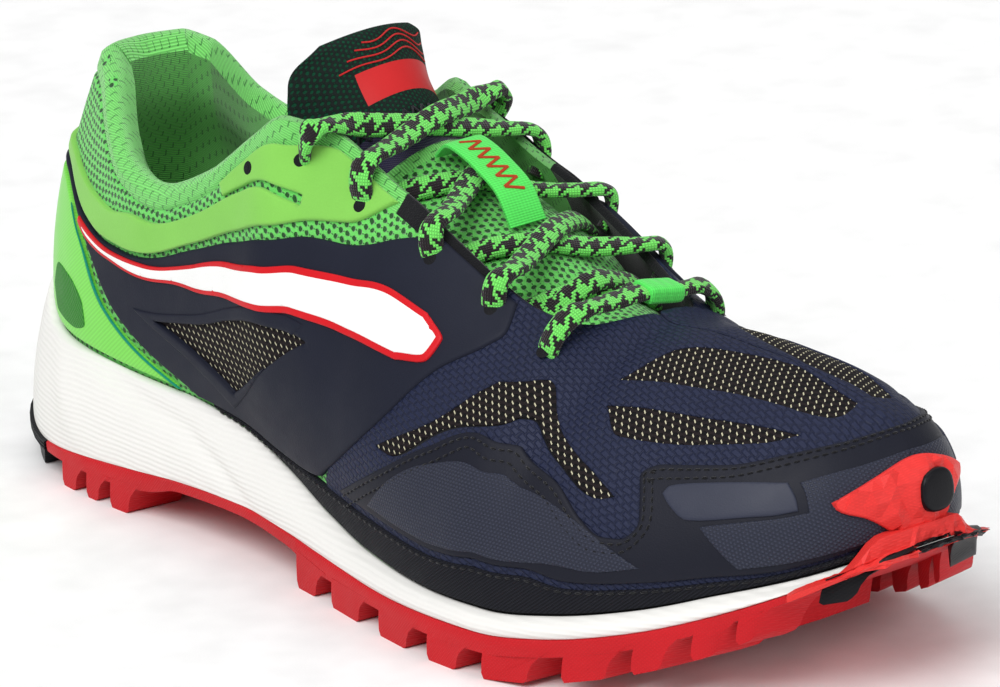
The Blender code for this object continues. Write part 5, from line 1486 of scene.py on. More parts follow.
@dataclass
class Tongue:
    """Padded tongue with its tape loop."""

    thickness: float = 0.0045
    edge_share: float = 0.45
    edge_round: float = 0.0022
    offset: float = 0.0006
    loop_lift: float = 0.0072
    loop_width: float = 0.0105
    loop_wall: float = 0.0011
    seam_share: float = 0.822
    zigzag_reach: float = 0.010
    loop_zigzag_reach: float = 0.0024
    patch_share: tuple[float, float] = (0.868, 0.925)
    patch_across: tuple[float, float] = (-0.009, 0.017)
    rows: int = 130
    columns: int = 45
    table: tuple[Row, ...] = (
        (0.775, 0.615, 0.13, 0.50, 0.15), (0.735, 0.645, 0.16, 0.60, 0.20), (0.700, 0.665, 0.18, 0.75, 0.30),
        (0.655, 0.700, 0.25, 0.90, 0.40), (0.590, 0.830, 0.30, 1.00, 0.42), (0.525, 0.905, 0.30, 1.00, 0.48),
        (0.480, 0.960, 0.28, 1.00, 0.72), (0.445, 1.010, 0.275, 1.10, 0.92), (0.420, 1.075, 0.27, 1.30, 0.85),
        (0.405, 1.130, 0.26, 1.30, 0.65), (0.397, 1.165, 0.235, 1.20, 0.45), (0.392, 1.182, 0.17, 0.90, 0.30),
    )
    loop_rows: tuple[Row, ...] = ((0.572, 0.0), (0.556, 0.80), (0.535, 1.0), (0.515, 1.0), (0.498, 0.80), (0.484, 0.0))
    zones: tuple[tuple[float, Look], ...] = (
        (0.720, Look.MESH), (0.748, Look.LINING), (0.822, Look.SATIN), (2.0, Look.TONGUE_KNIT),
    )

    def __post_init__(self) -> None:
        """Measures the table."""
        table = np.array(self.table)
        x = table[:, 0] * last.length
        z = last.footbed(x) + table[:, 1] * last.instep_rise
        long = lengths(np.column_stack([x, z]))
        self.long = long[-1]
        half = table[:, 2] * last.instep_rise
        self.measured = np.column_stack([long / long[-1], x, z, half, table[:, 3] * self.thickness, table[:, 4]])
        self.shares = np.linspace(0, 1, 400)
        self.stations = self.read(1, self.shares)

    def read(self, column: int, share: Array) -> Array:
        """A column of the measured table: x, z, half width, thickness or side bend."""
        return monotone(self.measured, column, share)

    def on(self, share: Array, across: Array) -> tuple[Array, Array]:
        """Places on the upper face.

        Args:
            share: from the toe end to the top.
            across: from -1 on the lateral edge to 1 on the medial one.

        Returns:
            The places and the directions out of the face.
        """
        share, across = np.broadcast_arrays(np.asarray(share, float), np.asarray(across, float))
        x, z, half, bend = (self.read(column, share) for column in (1, 2, 3, 5))
        low, high = np.clip(share - 0.004, 0, 1), np.clip(share + 0.004, 0, 1)
        slope_x, slope_z = (self.read(column, high) - self.read(column, low) for column in (1, 2))
        out = unit(np.stack([slope_z, 0 * x, -slope_x], -1))
        sag = (half * bend * across**2)[..., None]
        lean = out + np.stack([0 * x, 2 * bend * across, 0 * x], -1)
        return np.stack([x, half * across + self.offset, z], -1) - sag * out, unit(lean)

    def place(self, x: float, y: float) -> tuple[Array, Array]:
        """Place on the upper face below a point, and the direction out there."""
        share = self.shares[int(np.argmin(np.abs(self.stations - x)))]
        half = float(self.read(3, share))
        return self.on(share, (y - self.offset) / half)

    def build(self) -> None:
        """The tongue, its zigzag seam and its loop."""
        share = np.sin(np.linspace(0, math.pi / 2, self.rows))[:, None]
        across = np.sin(np.linspace(-math.pi / 2, math.pi / 2, self.columns))[None]
        top, out = self.on(share, across)
        half, thick = self.read(3, share), self.read(4, share)
        edge = np.minimum(np.minimum(half * (1 - np.abs(across)), self.long * (1 - share)), self.long * share + 0.001)
        deep = thick * (1 - (1 - self.edge_share) * across**2)
        close = 1 - np.clip(edge / self.edge_round, 0, 1)
        drop = deep * 0.5 * (1 - np.sqrt(1 - close**2))
        fold = 0.0005 * np.exp(-(((share - 0.735) / 0.012) ** 2))
        groove = 0.0007 * np.exp(-(((share - self.seam_share) / 0.006) ** 2))
        over = top + (fold - groove - drop)[..., None] * out
        under = top - (deep - drop)[..., None] * out
        size = self.rows * self.columns
        faces = grid_faces(self.rows, self.columns)
        faces += [face[::-1] for face in grid_faces(self.rows, self.columns, size)]
        index = np.arange(size).reshape(self.rows, self.columns)
        for line in (index[:, 0], index[:, -1], index[0], index[-1]):
            faces += [(a, b, size + b, size + a) for a, b in zip(line.tolist(), line[1:].tolist())]
        cloth = np.stack(np.broadcast_arrays(share * self.long, half * across, share), -1).reshape(-1, 3)
        points = np.concatenate([over.reshape(-1, 3), under.reshape(-1, 3)])
        piece = mesh_object("tongue_body", points, faces, Look.MESH, np.concatenate([cloth, cloth]))
        self.paint(piece)
        finished(piece, "tongue_fabric", "tongue")
        self.decorate()
        self.tape()

    def paint(self, piece: Object) -> None:
        """Gives each zone of the tongue its fabric, with a plain patch near the top."""
        looks = [Look.MESH, Look.LINING, Look.SATIN, Look.TONGUE_KNIT, Look.PATCH]
        for look in looks[1:]:
            piece.data.materials.append(look.value.material())
        values = np.zeros(len(piece.data.vertices) * 3)
        piece.data.attributes["cloth"].data.foreach_get("vector", values)
        values = values.reshape(-1, 3)
        (low, high), (lateral, medial) = self.patch_share, self.patch_across
        for face in piece.data.polygons:
            _, across, share = values[list(face.vertices)].mean(axis=0)
            zone = next(look for end, look in self.zones if share < end)
            if low < share < high and lateral < across < medial and face.normal.x > 0:
                zone = Look.PATCH
            face.material_index = looks.index(zone)

    def decorate(self) -> None:
        """Zigzag thread over the satin band's edge and thin contour lines near the top."""
        count = 34
        shares = self.seam_share + self.zigzag_reach * (-1.0) ** np.arange(count)
        path, out = self.on(shares, np.linspace(-0.93, 0.93, count))
        parts = [thread(np.array([a, b]), np.array([n, n])) for a, b, n in zip(path, path[1:], out)]
        bundle("tongue_zigzag", parts, Look.THREAD, "tongue_fabric")
        parts = []
        for row in range(4):
            across = np.linspace(-0.55 + 0.1 * row, 0.80, 60)
            share = 0.938 + 0.013 * row + 0.006 * np.sin(across * (5 + row)) - 0.004 * np.cos(across * 9)
            parts.append(thread(*self.on(share, across), 0.0004, 0.0001))
        bundle("tongue_lines", parts, Look.PATCH, "tongue_fabric")

    def tape(self) -> None:
        """The loop that holds the laces in the middle, with a zigzag thread."""
        table = np.array(self.loop_rows)
        x = table[:, 0] * last.length
        share = np.interp(x, self.stations[::-1], self.shares[::-1])
        place, _ = self.on(share, 0.0)
        z = place[:, 2] + 0.0007 + self.loop_wall / 2 + table[:, 1] * self.loop_lift
        path = np.column_stack([x, 0 * x + self.offset, z])
        path = relaxed(stepped(path, 60)[0], 6)
        flat = np.repeat(np.array([[0.0, 1.0, 0.0]]), len(path), axis=0)
        if np.cross(unit(path[31] - path[30]), flat[0])[2] < 0:
            flat = -flat
        tape = ribbon(path, flat, self.loop_width, self.loop_wall, 24, 5.0)
        bundle("tape_loop", [tape], Look.TAPE, "loop_webbing", "tongue_loop")
        above = np.cross(unit(np.gradient(path, axis=0)), flat)
        picked = np.arange(14, 48, 3)
        sway = (-self.loop_zigzag_reach * (-1.0) ** np.arange(len(picked)))[:, None]
        spots = path[picked] + sway * flat[picked] + above[picked] * (self.loop_wall / 2 + 0.0001)
        ends = zip(spots, spots[1:], above[picked])
        parts = [thread(np.array([a, b]), np.array([n, n]), 0.0008, 0.0) for a, b, n in ends]
        bundle("loop_zigzag", parts, Look.RUST, "loop_webbing")


@dataclass(frozen=True)
class Lacing:
    """Flat cord through the eyelets, with the bar across the throat's foot and its keeper."""

    tongue: Tongue
    width: float = 0.0058
    thickness: float = 0.0029
    lift: float = 0.0029
    dive: float = 0.0030
    edge_raise: float = 0.0020
    edge_width: float = 0.0040
    tuck: float = 0.0062
    bar_lift: float = 0.0014
    bar_clearance: float = 0.022
    crossing_lift: float = 0.0027
    clearance: float = 0.0004
    keeper_length: float = 0.010
    keeper_share: float = 0.60
    keeper_wall: float = 0.0006
    steps: int = 96
    rounds: int = 45

    def spot(self, turn: float, rise: float, lift: float) -> tuple[Array, Array]:
        """A place off the upper and the direction out there."""
        turns, rises = np.array([turn]), np.array([rise])
        return last.lifted(turns, rises, np.array([lift]))[0], last.normal(turns, rises)[0]

    def outer_end(self, turn: float, rise: float, toward: float) -> End:
        """A strand's end, from inside its eyelet out over the throat's edge.

        Args:
            turn: the eyelet's turn.
            rise: its rise.
            toward: the turn where the strand's other end is.

        Returns:
            Points with the directions that the cord faces.
        """
        hole, out = self.spot(turn, rise, 0.0)
        turns = turn + np.linspace(-0.03, 0.03, 31)
        run = (last.top_line(np.array([toward]))[0] - hole)[:2]
        gap = last.top_line(turns)[:, :2] - hole[:2]
        crossing = turns[int(np.argmin(np.abs(gap[:, 0] * run[1] - gap[:, 1] * run[0])))]
        padding = float(last.wall_at(turn, 1.0)) - last.wall
        edge, edge_out = self.spot(crossing, 0.985, self.lift + self.edge_raise + 2.2 * padding)
        ahead = unit(edge - hole - out * ((edge - hole) @ out))
        inward = np.array([0.0, -math.copysign(1.0, edge[1]), 0.0])
        return [
            (hole - self.dive * out, out),
            (hole + 0.0004 * out + 0.0002 * ahead, out),
            (hole + (self.lift - 0.0004) * out + 0.0028 * ahead, out),
            (edge, edge_out),
            (edge + self.edge_width * inward, UP - 0.1 * inward),
        ]

    def inner_end(self, turn: float) -> End:
        """A strand's end under the throat's edge, over the tongue."""
        edge = last.top_line(np.array([turn]))[0]
        points = []
        for share, height in ((-0.25, 0.4), (1.0, 1.0)):
            y = edge[1] + math.copysign(self.tuck * share, -edge[1])
            place, lean = self.tongue.place(edge[0], y)
            points.append((place + lean * (self.thickness / 2 + self.clearance) * height, lean))
        return points

    def strand(self, first: End, final: End, lift: float) -> tuple[Array, Array]:
        """A strand between two ends, clear of the tongue.

        Args:
            first: points and facings from one end.
            final: the same from the other end.
            lift: how much higher it passes at its middle.

        Returns:
            Its path and the direction across it.
        """
        start, step = first[-1][0], final[-1][0] - first[-1][0]
        clear = self.thickness / 2 + self.clearance
        spots = list(first)
        for share in (0.2, 0.35, 0.5, 0.65, 0.8):
            point = start + step * share
            place, lean = self.tongue.place(point[0], point[1])
            above = float((point - place) @ lean)
            raised = max(above, clear) + lift * max(0.0, 1 - abs(share - 0.5) / 0.3)
            spots.append((point + lean * (raised - above), lean))
        spots += final[::-1]
        points, facing = (np.array(column) for column in zip(*spots))
        path, flat = stepped(points, self.steps, np.cross(facing, unit(step)))
        return relaxed(path, self.rounds), flat

    def build(self) -> None:
        """Every strand and the keeper."""
        for index in range(4):
            turn, rise = EYELETS[index + 1]
            higher, higher_rise = EYELETS[index]
            ends = self.inner_end(2 - higher), self.inner_end(higher)
            starts = self.outer_end(turn, rise, 2 - higher), self.outer_end(2 - turn, rise, higher)
            if index == 0:
                ends = self.outer_end(2 - higher, higher_rise, turn), self.outer_end(higher, higher_rise, 2 - turn)
            if index == 3:
                starts = self.inner_end(turn - self.bar_clearance), self.inner_end(2 - turn + self.bar_clearance)
            strands = [self.strand(starts[0], ends[0], self.crossing_lift), self.strand(starts[1], ends[1], 0.0)]
            self.cord(f"strands_{index}", strands, f"lace_cross_{index}")
        turn, rise = EYELETS[-1]
        ends = self.outer_end(turn, rise, 2 - turn), self.outer_end(2 - turn, rise, turn)
        bar = self.strand(*ends, self.bar_lift)
        self.cord("strand_bar", [bar], "lace_bar")
        self.keeper(*bar)

    def cord(self, name: str, strands: Sequence[tuple[Array, Array]], node: str) -> None:
        """One piece of cord along each strand's path."""
        parts = [ribbon(path, flat, self.width, self.thickness) for path, flat in strands]
        bundle(name, parts, Look.LACE, "lace_cord", node)

    def keeper(self, path: Array, flat: Array) -> None:
        """Ribbed sleeve round the bar."""
        count, along = 40, lengths(path)
        middle = along[-1] * self.keeper_share
        at = middle + np.linspace(-0.5, 0.5, count) * self.keeper_length
        spots, across = (np.column_stack([np.interp(at, along, line[:, k]) for k in range(3)]) for line in (path, flat))
        ease = 0.0006 * np.sqrt(np.clip(1 - ((at - middle) / (self.keeper_length / 2)) ** 8, 0, 1))
        ease += 0.00010 * np.sin(np.arange(count) * 2.1) + self.keeper_wall
        sleeve = ribbon(spots, across, self.width + ease, self.thickness + 0.0002 + ease, 28, 4.0)
        bundle("keeper_sleeve", [sleeve], Look.TAPE, "lace_cord", "lace_keeper")


@dataclass(frozen=True)
class Sole:
    """Foam midsole with its cup, and the rubber with hooked lugs. The heel pad's and the insole's solids stay."""

    columns: int = 400
    setback: float = 0.0010
    bulge: float = 0.0012
    rim: float = 0.0024
    rim_drop: float = 0.0004
    cup_gap: float = 0.0003
    seam_gap: float = 0.0002
    crease_depth: float = 0.0011
    corner_height: float = 0.0009
    arch_plate: float = 0.0022
    lug_depth: float = 0.0060
    lug_reach: float = 0.016
    lug_gap: float = 0.004
    lug_root: float = 0.0014
    chevron_point: float = 0.0035
    pitch: float = 0.018
    facet: float = 0.0016
    band_wall: float = 0.0030
    cup_rows: tuple[Row, ...] = (
        (0.0, 0.130), (0.08, 0.120), (0.12, 0.095), (0.18, 0.045), (0.25, 0.035), (0.36, 0.022), (0.80, 0.022),
        (0.88, 0.014), (1.0, 0.012),
    )
    crease_rows: tuple[Row, ...] = ((0.28, 1.0), (0.32, 0.83), (0.37, 0.67), (0.405, 0.37), (0.44, 0.0))
    arch_rows: tuple[Row, ...] = (
        (0.0, 0.0), (0.20, 0.0), (0.25, 0.3), (0.30, 1.0), (0.38, 1.0), (0.45, 0.8), (0.50, 0.0), (1.0, 0.0),
    )
    lugs: tuple[Row, ...] = (
        (0.152, 0.50), (0.188, 0.42), (0.226, 0.55), (0.486, 0.62), (0.548, 0.85), (0.622, 0.80), (0.688, 0.72),
        (0.755, 0.85), (0.822, 0.70), (0.868, 0.50), (0.908, 0.45), (0.935, 0.36),
    )
    chevrons_end: float = 0.9
    red_turns: tuple[float, float] = (0.2105, 0.966)
    black_turns: tuple[float, float] = (0.9665, 0.9990)
    black_lug: tuple[float, float] = (0.981, 0.30)
    hook: tuple[Row, ...] = (
        (0.0, 0.0, 0.0), (0.0, -0.0007, 0.45), (0.0, -0.0010, 0.82), (0.0, -0.0004, 1.0), (1.0, -0.0048, 1.0),
        (1.0, -0.0038, 0.90), (1.0, -0.0033, 0.64), (1.0, -0.0022, 0.38), (1.0, -0.0003, 0.16), (1.0, 0.0022, 0.0),
    )

    def rubber_bottom(self, x: Array) -> Array:
        """Underside of the rubber's plate."""
        along = np.asarray(x) / last.length
        plane, top = last.tread_plane(x), last.rubber_top(x)
        plain = plane + self.lug_depth * np.minimum(1, (top - plane) / (1.3 * self.lug_depth))
        return plain + monotone(self.arch_rows, 1, along) * (top - self.arch_plate - plain)

    def foam_bottom(self, x: Array) -> Array:
        """Underside of the foam."""
        return last.rubber_top(x) + self.seam_gap

    def rim_inner(self, turn: Array) -> Array:
        """Inside of the cup's rim."""
        rise = monotone(both_sides(self.cup_rows), 1, np.mod(turn, 2.0))
        return last.lifted(turn, rise, self.cup_gap + 0 * np.asarray(turn))

    def side(self, turn: Array, share: float) -> Array:
        """The foam's side, part of the way from the rubber up to the rim."""
        low = last.on_outline(turn, self.setback, self.foam_bottom)
        high = self.rim_inner(turn) + self.rim * last.outward(turn) - self.rim_drop * UP
        place, round_share = side_of(turn), math.sin(math.pi * share)
        fold = np.interp(place, *zip(*self.crease_rows))
        strong = smooth((place - 0.24) / 0.05) * smooth((0.45 - place) / 0.05)
        crease = self.crease_depth * strong * np.exp(-(((share - fold) / 0.13) ** 2))
        corner = self.corner_height * np.exp(-(((place - 0.215 - 0.05 * (1 - share)) / 0.018) ** 2)) * round_share
        out = self.bulge * round_share**0.8 - crease + corner
        return low + (high - low) * share + out[:, None] * last.outward(turn)

    def midsole(self) -> None:
        """The foam as one closed piece."""
        turn = np.arange(self.columns) * 2 / self.columns
        rings = [last.on_outline(turn, 3 * self.setback, self.foam_bottom)]
        rings += [self.side(turn, float(share)) for share in np.linspace(0, 1, 22)]
        inner, outer = self.rim_inner(turn), rings[-1]
        for share in (0.25, 0.5, 0.75, 1.0):
            rings.append(outer + (inner - outer) * share + self.rim_drop * math.sin(math.pi * share) * UP)
        floor = last.foot_line(turn) + self.cup_gap * last.outward(turn)
        floor[:, 2] = last.footbed(floor[:, 0])
        rings.append(floor)
        points, faces = tube(np.array(rings), capped=False)
        for start in (0, (len(rings) - 1) * self.columns):
            for i in range(self.columns // 2):
                far, beyond = (self.columns - i - 1) % self.columns, (self.columns - i) % self.columns
                faces.append((start + i, start + i + 1, start + far, start + beyond))
        kept = [tuple(dict.fromkeys(face)) for face in faces]
        finished(mesh_object("foam_midsole", points, kept, Look.FOAM), "midsole_foam", "midsole")

    def plate(self, between: tuple[float, float], count: int) -> Shape:
        """A closed plate of rubber across the sole.

        Args:
            between: the turns where it starts and ends.
            count: points along each side.

        Returns:
            The closed shape.
        """
        turns = np.linspace(*between, count)
        levels = ((0.0, 2.0), (0.10, 0.7), (0.5, 0.5), (0.92, 0.5), (1.0, 0.9))
        points = []
        for share, inset in levels:
            for side in (turns, 2 - turns):
                row = last.on_outline(side, inset * self.setback, self.rubber_bottom)
                low, high = row[:, 2] - 0.0003, last.rubber_top(row[:, 0]) + 0.0001
                row[:, 2] = low + share * (high - low)
                points.append(row)
        faces, top = [], (2 * len(levels) - 2) * count
        for step in range(len(levels) - 1):
            low = 2 * step * count
            for start in (low, low + count):
                faces += [(start + i, start + i + 1, start + 2 * count + i + 1, start + 2 * count + i)
                          for i in range(count - 1)]
            faces += [(at, at + count, at + 3 * count, at + 2 * count) for at in (low, low + count - 1)]
        for start in (0, top):
            faces += [(start + i, start + i + 1, start + count + i + 1, start + count + i) for i in range(count - 1)]
        return plain(np.concatenate(points), faces)

    def tooth(self, back: float, front: float, side: Side) -> Shape:
        """A hooked lug at the sole's edge.

        Args:
            back: its heel end, in metres along the shoe.
            front: its toe end.
            side: which edge it stands at.

        Returns:
            The closed shape.
        """
        profile = np.array([(back + (front - back) * end + shift, depth) for end, shift, depth in self.hook])
        x, depth = profile[:, 0], profile[:, 1]
        turn = turn_of(np.clip(x / last.length, 0.0, 0.998))
        turn = turn if side is Side.LATERAL else 2 - turn
        root, ground = self.rubber_bottom(x) + self.lug_root, last.tread_plane(x)
        reach = np.minimum(self.lug_reach, np.abs(last.outline(turn)[1]) * 0.62)
        insets = self.setback * 0.5 + 0.0004 * depth, reach - 0.0012 * depth
        outer, inner = (last.on_outline(turn, inset, np.zeros_like) for inset in insets)
        outer[:, 2] = inner[:, 2] = root + (ground - root) * depth
        inner[:, 0] = outer[:, 0] + LUG_SLANT
        return plain(*tube(np.array([outer, inner])))

    def chevron(self, station: float, back: float, front: float) -> Shape:
        """A middle lug that points to the toe.

        Args:
            station: its place along the shoe, as a share of the length.
            back: its heel end, in metres.
            front: its toe end.

        Returns:
            The closed shape.
        """
        edges = [float(last.outline(turn)[1]) for turn in (turn_of(station), 2 - turn_of(station))]
        middle, point = sum(edges) / 2, self.chevron_point
        half = float(np.clip((edges[1] - edges[0]) / 2 - self.lug_reach - self.lug_gap, 0.003, 0.017))
        rings = []
        for draft, height in ((0.0, lambda x: self.rubber_bottom(x) + 0.0012), (0.0008, last.tread_plane)):
            low, high, side = back + draft, front - draft, half - draft
            plan = [(low, -side), (low + point, 0.0), (low, side), (high, side), (high + point, 0.0), (high, -side)]
            rings.append([(x, middle + y, float(height(x))) for x, y in plan])
        return plain(*tube(np.array(rings)))

    def lug_ends(self, station: float, long: float) -> tuple[float, float]:
        """Heel and toe end of a lug at a station, with its length as a share of the pitch."""
        return tuple(station * last.length + sign * long * self.pitch / 2 for sign in (-1, 1))

    def outsole(self) -> None:
        """Red rubber with every lug."""
        parts = [self.plate(self.red_turns, 180)]
        for station, long in self.lugs:
            ends = self.lug_ends(station, long)
            parts += [self.tooth(*ends, side) for side in Side]
            if station < self.chevrons_end:
                parts.append(self.chevron(station, *ends))
        bundle("red_outsole", parts, Look.RUBBER, "red_rubber", "outsole")
        parts = [self.plate(self.black_turns, 24)]
        parts += [self.tooth(*self.lug_ends(*self.black_lug), side) for side in Side]
        bundle("black_toe", parts, Look.BLACK_RUBBER, "black_rubber", "toe_lugs")

    def band(self, name: str, look: Look, slot: str, turn: Array, between: tuple[Array, Array], off: float) -> None:
        """Faceted rubber that climbs from the plate over the foam to the upper.

        Args:
            name: the piece's name.
            look: its finish.
            slot: its colour slot; not used.
            turn: places along the outline.
            between: how far up it starts and ends at each place, from 0 at the plate's underside to 1 on the upper.
            off: extra distance outward.
        """
        out = last.outward(turn)
        rungs = np.array([
            last.on_outline(turn, -0.0005, self.rubber_bottom),
            last.on_outline(turn, -0.0009, last.rubber_top),
            self.side(turn, 0.5) + 0.0020 * out,
            self.rim_inner(turn) + (self.rim + 0.0024) * out + 0.0016 * UP,
            last.lifted(turn, 0.15 + 0 * turn, 0.0036 + 0 * turn),
        ])
        rows = []
        for share in np.linspace(0, 1, 8):
            level = between[0] + share * (between[1] - between[0])
            weights = np.array([np.interp(level, (0.0, 0.25, 0.58, 0.84, 1.0), row) for row in np.eye(5)])
            fade = smooth(between[1] * 2 - 0.6) * math.sin(math.pi * share)
            facets = off + self.facet * scattered(turn * 913.7 + share * 47.3) * fade
            rows.append((weights[..., None] * rungs).sum(axis=0) + facets[:, None] * out)
        outer = np.array(rows)
        points, faces = tube(np.concatenate([outer, (outer - self.band_wall * out)[::-1]]).transpose(1, 0, 2))
        piece = mesh_object(name, points, faces, look)
        piece.data.shade_flat()
        finished(piece, slot)

    def toe(self) -> None:
        """The bumper's lower part and the black lip under it."""
        turn = np.linspace(0.86, 1.14, 36)
        tall = smooth((turn - 0.86) / 0.085) * smooth((1.14 - turn) / 0.085)
        lip = 0.60 * smooth((turn - 0.970) / 0.012)
        levels = lip, np.maximum(lip + 0.05, 0.22 + 0.78 * tall)
        self.band("bumper_skirt", Look.BUMPER, "bumper_rubber", turn, levels, 0.0006)
        turn = np.linspace(0.974, 1.125, 24)
        self.band("toe_lip", Look.BLACK_RUBBER, "black_rubber", turn, (0 * turn, 0.74 + 0 * turn), 0.0)

    def build(self) -> None:
        """All of the sole."""
        self.midsole()
        self.outsole()
        self.toe()
        for node, look in (("heel_pad", Look.BLACK_RUBBER), ("insole", Look.INSOLE)):
            dress(node, look)


class Stitching:
    """Rows of stitches set along paths by one node tree."""

    thickness = 0.00055
    length_share = 0.72

    def __init__(self) -> None:
        """Builds the tree."""
        self.tree = bpy.data.node_groups.new("stitching", "GeometryNodeTree")
        face, nodes = self.tree.interface, self.tree.nodes
        face.new_socket("Path", in_out="INPUT", socket_type="NodeSocketGeometry")
        for name in ("Pitch", "Length", "Thickness"):
            face.new_socket(name, in_out="INPUT", socket_type="NodeSocketFloat")
        face.new_socket("Thread", in_out="INPUT", socket_type="NodeSocketMaterial")
        face.new_socket("Stitches", in_out="OUTPUT", socket_type="NodeSocketGeometry")
        given, result = nodes.new("NodeGroupInput"), nodes.new("NodeGroupOutput")
        curve, spaced = nodes.new("GeometryNodeMeshToCurve"), nodes.new("GeometryNodeResampleCurve")
        spaced.mode = "LENGTH"
        tangent, turned = nodes.new("GeometryNodeInputTangent"), nodes.new("FunctionNodeAlignRotationToVector")
        turned.axis = "Z"
        size, bead = nodes.new("ShaderNodeCombineXYZ"), nodes.new("GeometryNodeMeshUVSphere")
        for name, value in (("Segments", 6), ("Rings", 5), ("Radius", 0.5)):
            bead.inputs[name].default_value = value
        placed, real = nodes.new("GeometryNodeInstanceOnPoints"), nodes.new("GeometryNodeRealizeInstances")
        painted = nodes.new("GeometryNodeSetMaterial")
        for source, socket, target, name in (
            (given, "Path", curve, "Mesh"), (curve, "Curve", spaced, "Curve"), (given, "Pitch", spaced, "Length"),
            (spaced, "Curve", placed, "Points"), (tangent, "Tangent", turned, "Vector"),
            (turned, "Rotation", placed, "Rotation"), (given, "Thickness", size, "X"), (given, "Thickness", size, "Y"),
            (given, "Length", size, "Z"), (size, "Vector", placed, "Scale"), (bead, "Mesh", placed, "Instance"),
            (placed, "Instances", real, "Geometry"), (real, "Geometry", painted, "Geometry"),
            (given, "Thread", painted, "Material"), (painted, "Geometry", result, "Stitches"),
        ):
            self.tree.links.new(source.outputs[socket], target.inputs[name])

    def sew(self, name: str, paths: Sequence[Array], look: Look, slot: str, pitch: float = 0.0021) -> None:
        """Lays stitches along paths.

        Args:
            name: the piece's name.
            paths: points along each row.
            look: the thread's finish.
            slot: its colour slot; not used.
            pitch: distance between stitches.
        """
        edges, start = [], 0
        for path in paths:
            edges += [(start + i, start + i + 1) for i in range(len(path) - 1)]
            start += len(path)
        mesh = bpy.data.meshes.new(name + "_path")
        mesh.from_pydata((np.concatenate(paths) + TO_FRAME).tolist(), edges, [])
        guide = bpy.data.objects.new(name + "_path", mesh)
        bpy.context.scene.collection.objects.link(guide)
        modifier = guide.modifiers.new("stitching", "NODES")
        modifier.node_group = self.tree
        given = {"Pitch": pitch, "Length": pitch * self.length_share, "Thickness": self.thickness}
        given["Thread"] = look.value.material()
        for item in self.tree.interface.items_tree:
            if item.item_type == "SOCKET" and item.in_out == "INPUT" and item.name in given:
                modifier[item.identifier] = given[item.name]
        graph = bpy.context.evaluated_depsgraph_get()
        made = bpy.data.meshes.new_from_object(guide.evaluated_get(graph))
        bpy.data.objects.remove(guide)
        made.shade_smooth()
        piece = bpy.data.objects.new(name, made)
        bpy.context.scene.collection.objects.link(piece)
        finished(piece, slot)

    def build(self) -> None:
        """Every row of stitches on the upper."""
        guard = around_toe(MUDGUARD_TOP, MUDGUARD_FOOT)
        rows = [seam(guard, (0, 1), inset) for inset in (0.0016, 0.0038)]
        self.sew("guard_stitches", rows, Look.LOOSE, "toe_overlay")
        rand = around_toe(RAND[:1], RAND[1:])
        self.sew("rand_stitches", [seam(rand, (0, 1), 0.0010, 0.0013)], Look.LOOSE, "rand_twill", 0.0026)


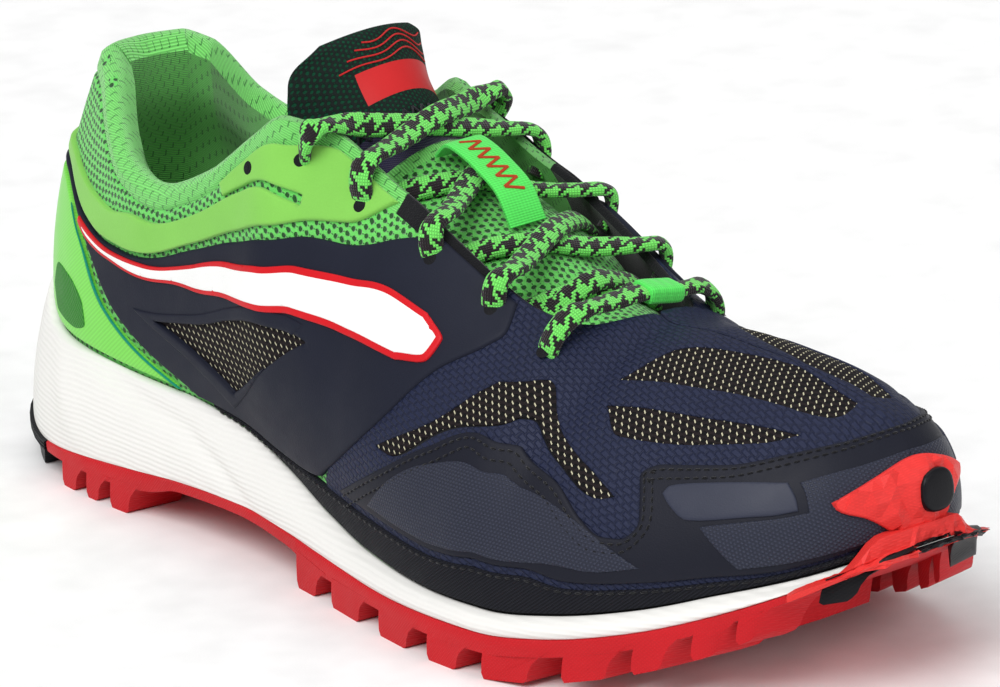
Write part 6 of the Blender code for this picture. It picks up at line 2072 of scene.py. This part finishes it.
@dataclass(frozen=True)
class Studio:
    """Floor, lights and the camera at the photograph's viewing angle."""

    target: tuple[float, float, float] = (0.016602, -0.001815, 0.054521)
    azimuth: float = 50.632
    elevation: float = 18.156
    roll: float = -2.4235
    distance: float = 2.000226
    lens: float = 318.74
    sky: float = 0.42
    floor_reach: float = 6.0

    def camera(self) -> None:
        """Makes the scene's camera."""
        az, el, roll = map(math.radians, (self.azimuth, self.elevation, self.roll))
        back = Vector((math.sin(az) * math.cos(el), -math.cos(az) * math.cos(el), math.sin(el)))
        right = Vector((math.cos(az), math.sin(az), 0.0))
        up = back.cross(right)
        across = right * math.cos(roll) + up * math.sin(roll)
        upward = up * math.cos(roll) - right * math.sin(roll)
        data = bpy.data.cameras.new("camera")
        data.lens, data.sensor_width, data.clip_end = self.lens, 36.0, 50.0
        made = bpy.data.objects.new("camera", data)
        bpy.context.scene.collection.objects.link(made)
        turned = Matrix((across, upward, back)).transposed().to_4x4()
        made.matrix_world = Matrix.Translation(Vector(self.target) + back * self.distance) @ turned
        bpy.context.scene.camera = made

    def lamp(self, name: str, place: Vector, size: float, power: float) -> None:
        """A soft square light that faces the shoe."""
        data = bpy.data.lights.new(name, "AREA")
        data.size, data.energy = size, power
        made = bpy.data.objects.new(name, data)
        made.location = place
        made.rotation_euler = (Vector(self.target) - place).to_track_quat("-Z", "Y").to_euler()
        bpy.context.scene.collection.objects.link(made)

    def sun(self, place: Vector, power: float) -> None:
        """A broad soft sun from one direction."""
        data = bpy.data.lights.new("sun", "SUN")
        data.angle, data.energy = math.radians(40), power
        made = bpy.data.objects.new("sun", data)
        made.rotation_euler = (-place).to_track_quat("-Z", "Y").to_euler()
        bpy.context.scene.collection.objects.link(made)

    def build(self) -> None:
        """Camera, floor, sky and lamps."""
        self.camera()
        world = bpy.data.worlds.new("studio")
        world.use_nodes = True
        sky = world.node_tree.nodes["Background"].inputs
        sky[0].default_value, sky[1].default_value = (1.0, 1.0, 1.0, 1.0), self.sky
        bpy.context.scene.world = world
        self.sun(Vector((0.15, -0.75, 0.9)), 1.6)
        self.lamp("key", Vector((0.9, -1.3, 1.7)), 1.2, 10.0)
        self.lamp("fill", Vector((1.6, 0.4, 0.9)), 1.0, 7.0)
        self.lamp("top", Vector((-0.4, 0.3, 1.9)), 1.4, 6.0)
        corners = [(x * self.floor_reach, y * self.floor_reach, 0.0) for x, y in ((-1, -1), (1, -1), (1, 1), (-1, 1))]
        mesh = bpy.data.meshes.new("floor")
        mesh.from_pydata(corners, [], [(0, 1, 2, 3)])
        mesh.materials.append(Finish("floor_paper", (0.92, 0.92, 0.92), roughness=0.9, depth=0.00001).material())
        floor = bpy.data.objects.new("floor", mesh)
        bpy.context.scene.collection.objects.link(floor)
        bpy.context.scene.view_settings.view_transform = "Standard"


def dress(node: str, look: Look) -> None:
    """Gives a solid that stays its finish."""
    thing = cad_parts[node]
    thing.data.materials.clear()
    thing.data.materials.append(look.value.material())


def main() -> None:
    """Builds the studio and the shoe."""
    logging.basicConfig(level=logging.INFO, format="%(message)s")
    Studio().build()
    upper = UpperBody()
    upper.shell()
    upper.overlays()
    tongue = Tongue()
    tongue.build()
    Lacing(tongue).build()
    Sole().build()
    Stitching().build()


if __name__ == "__main__":
    main()
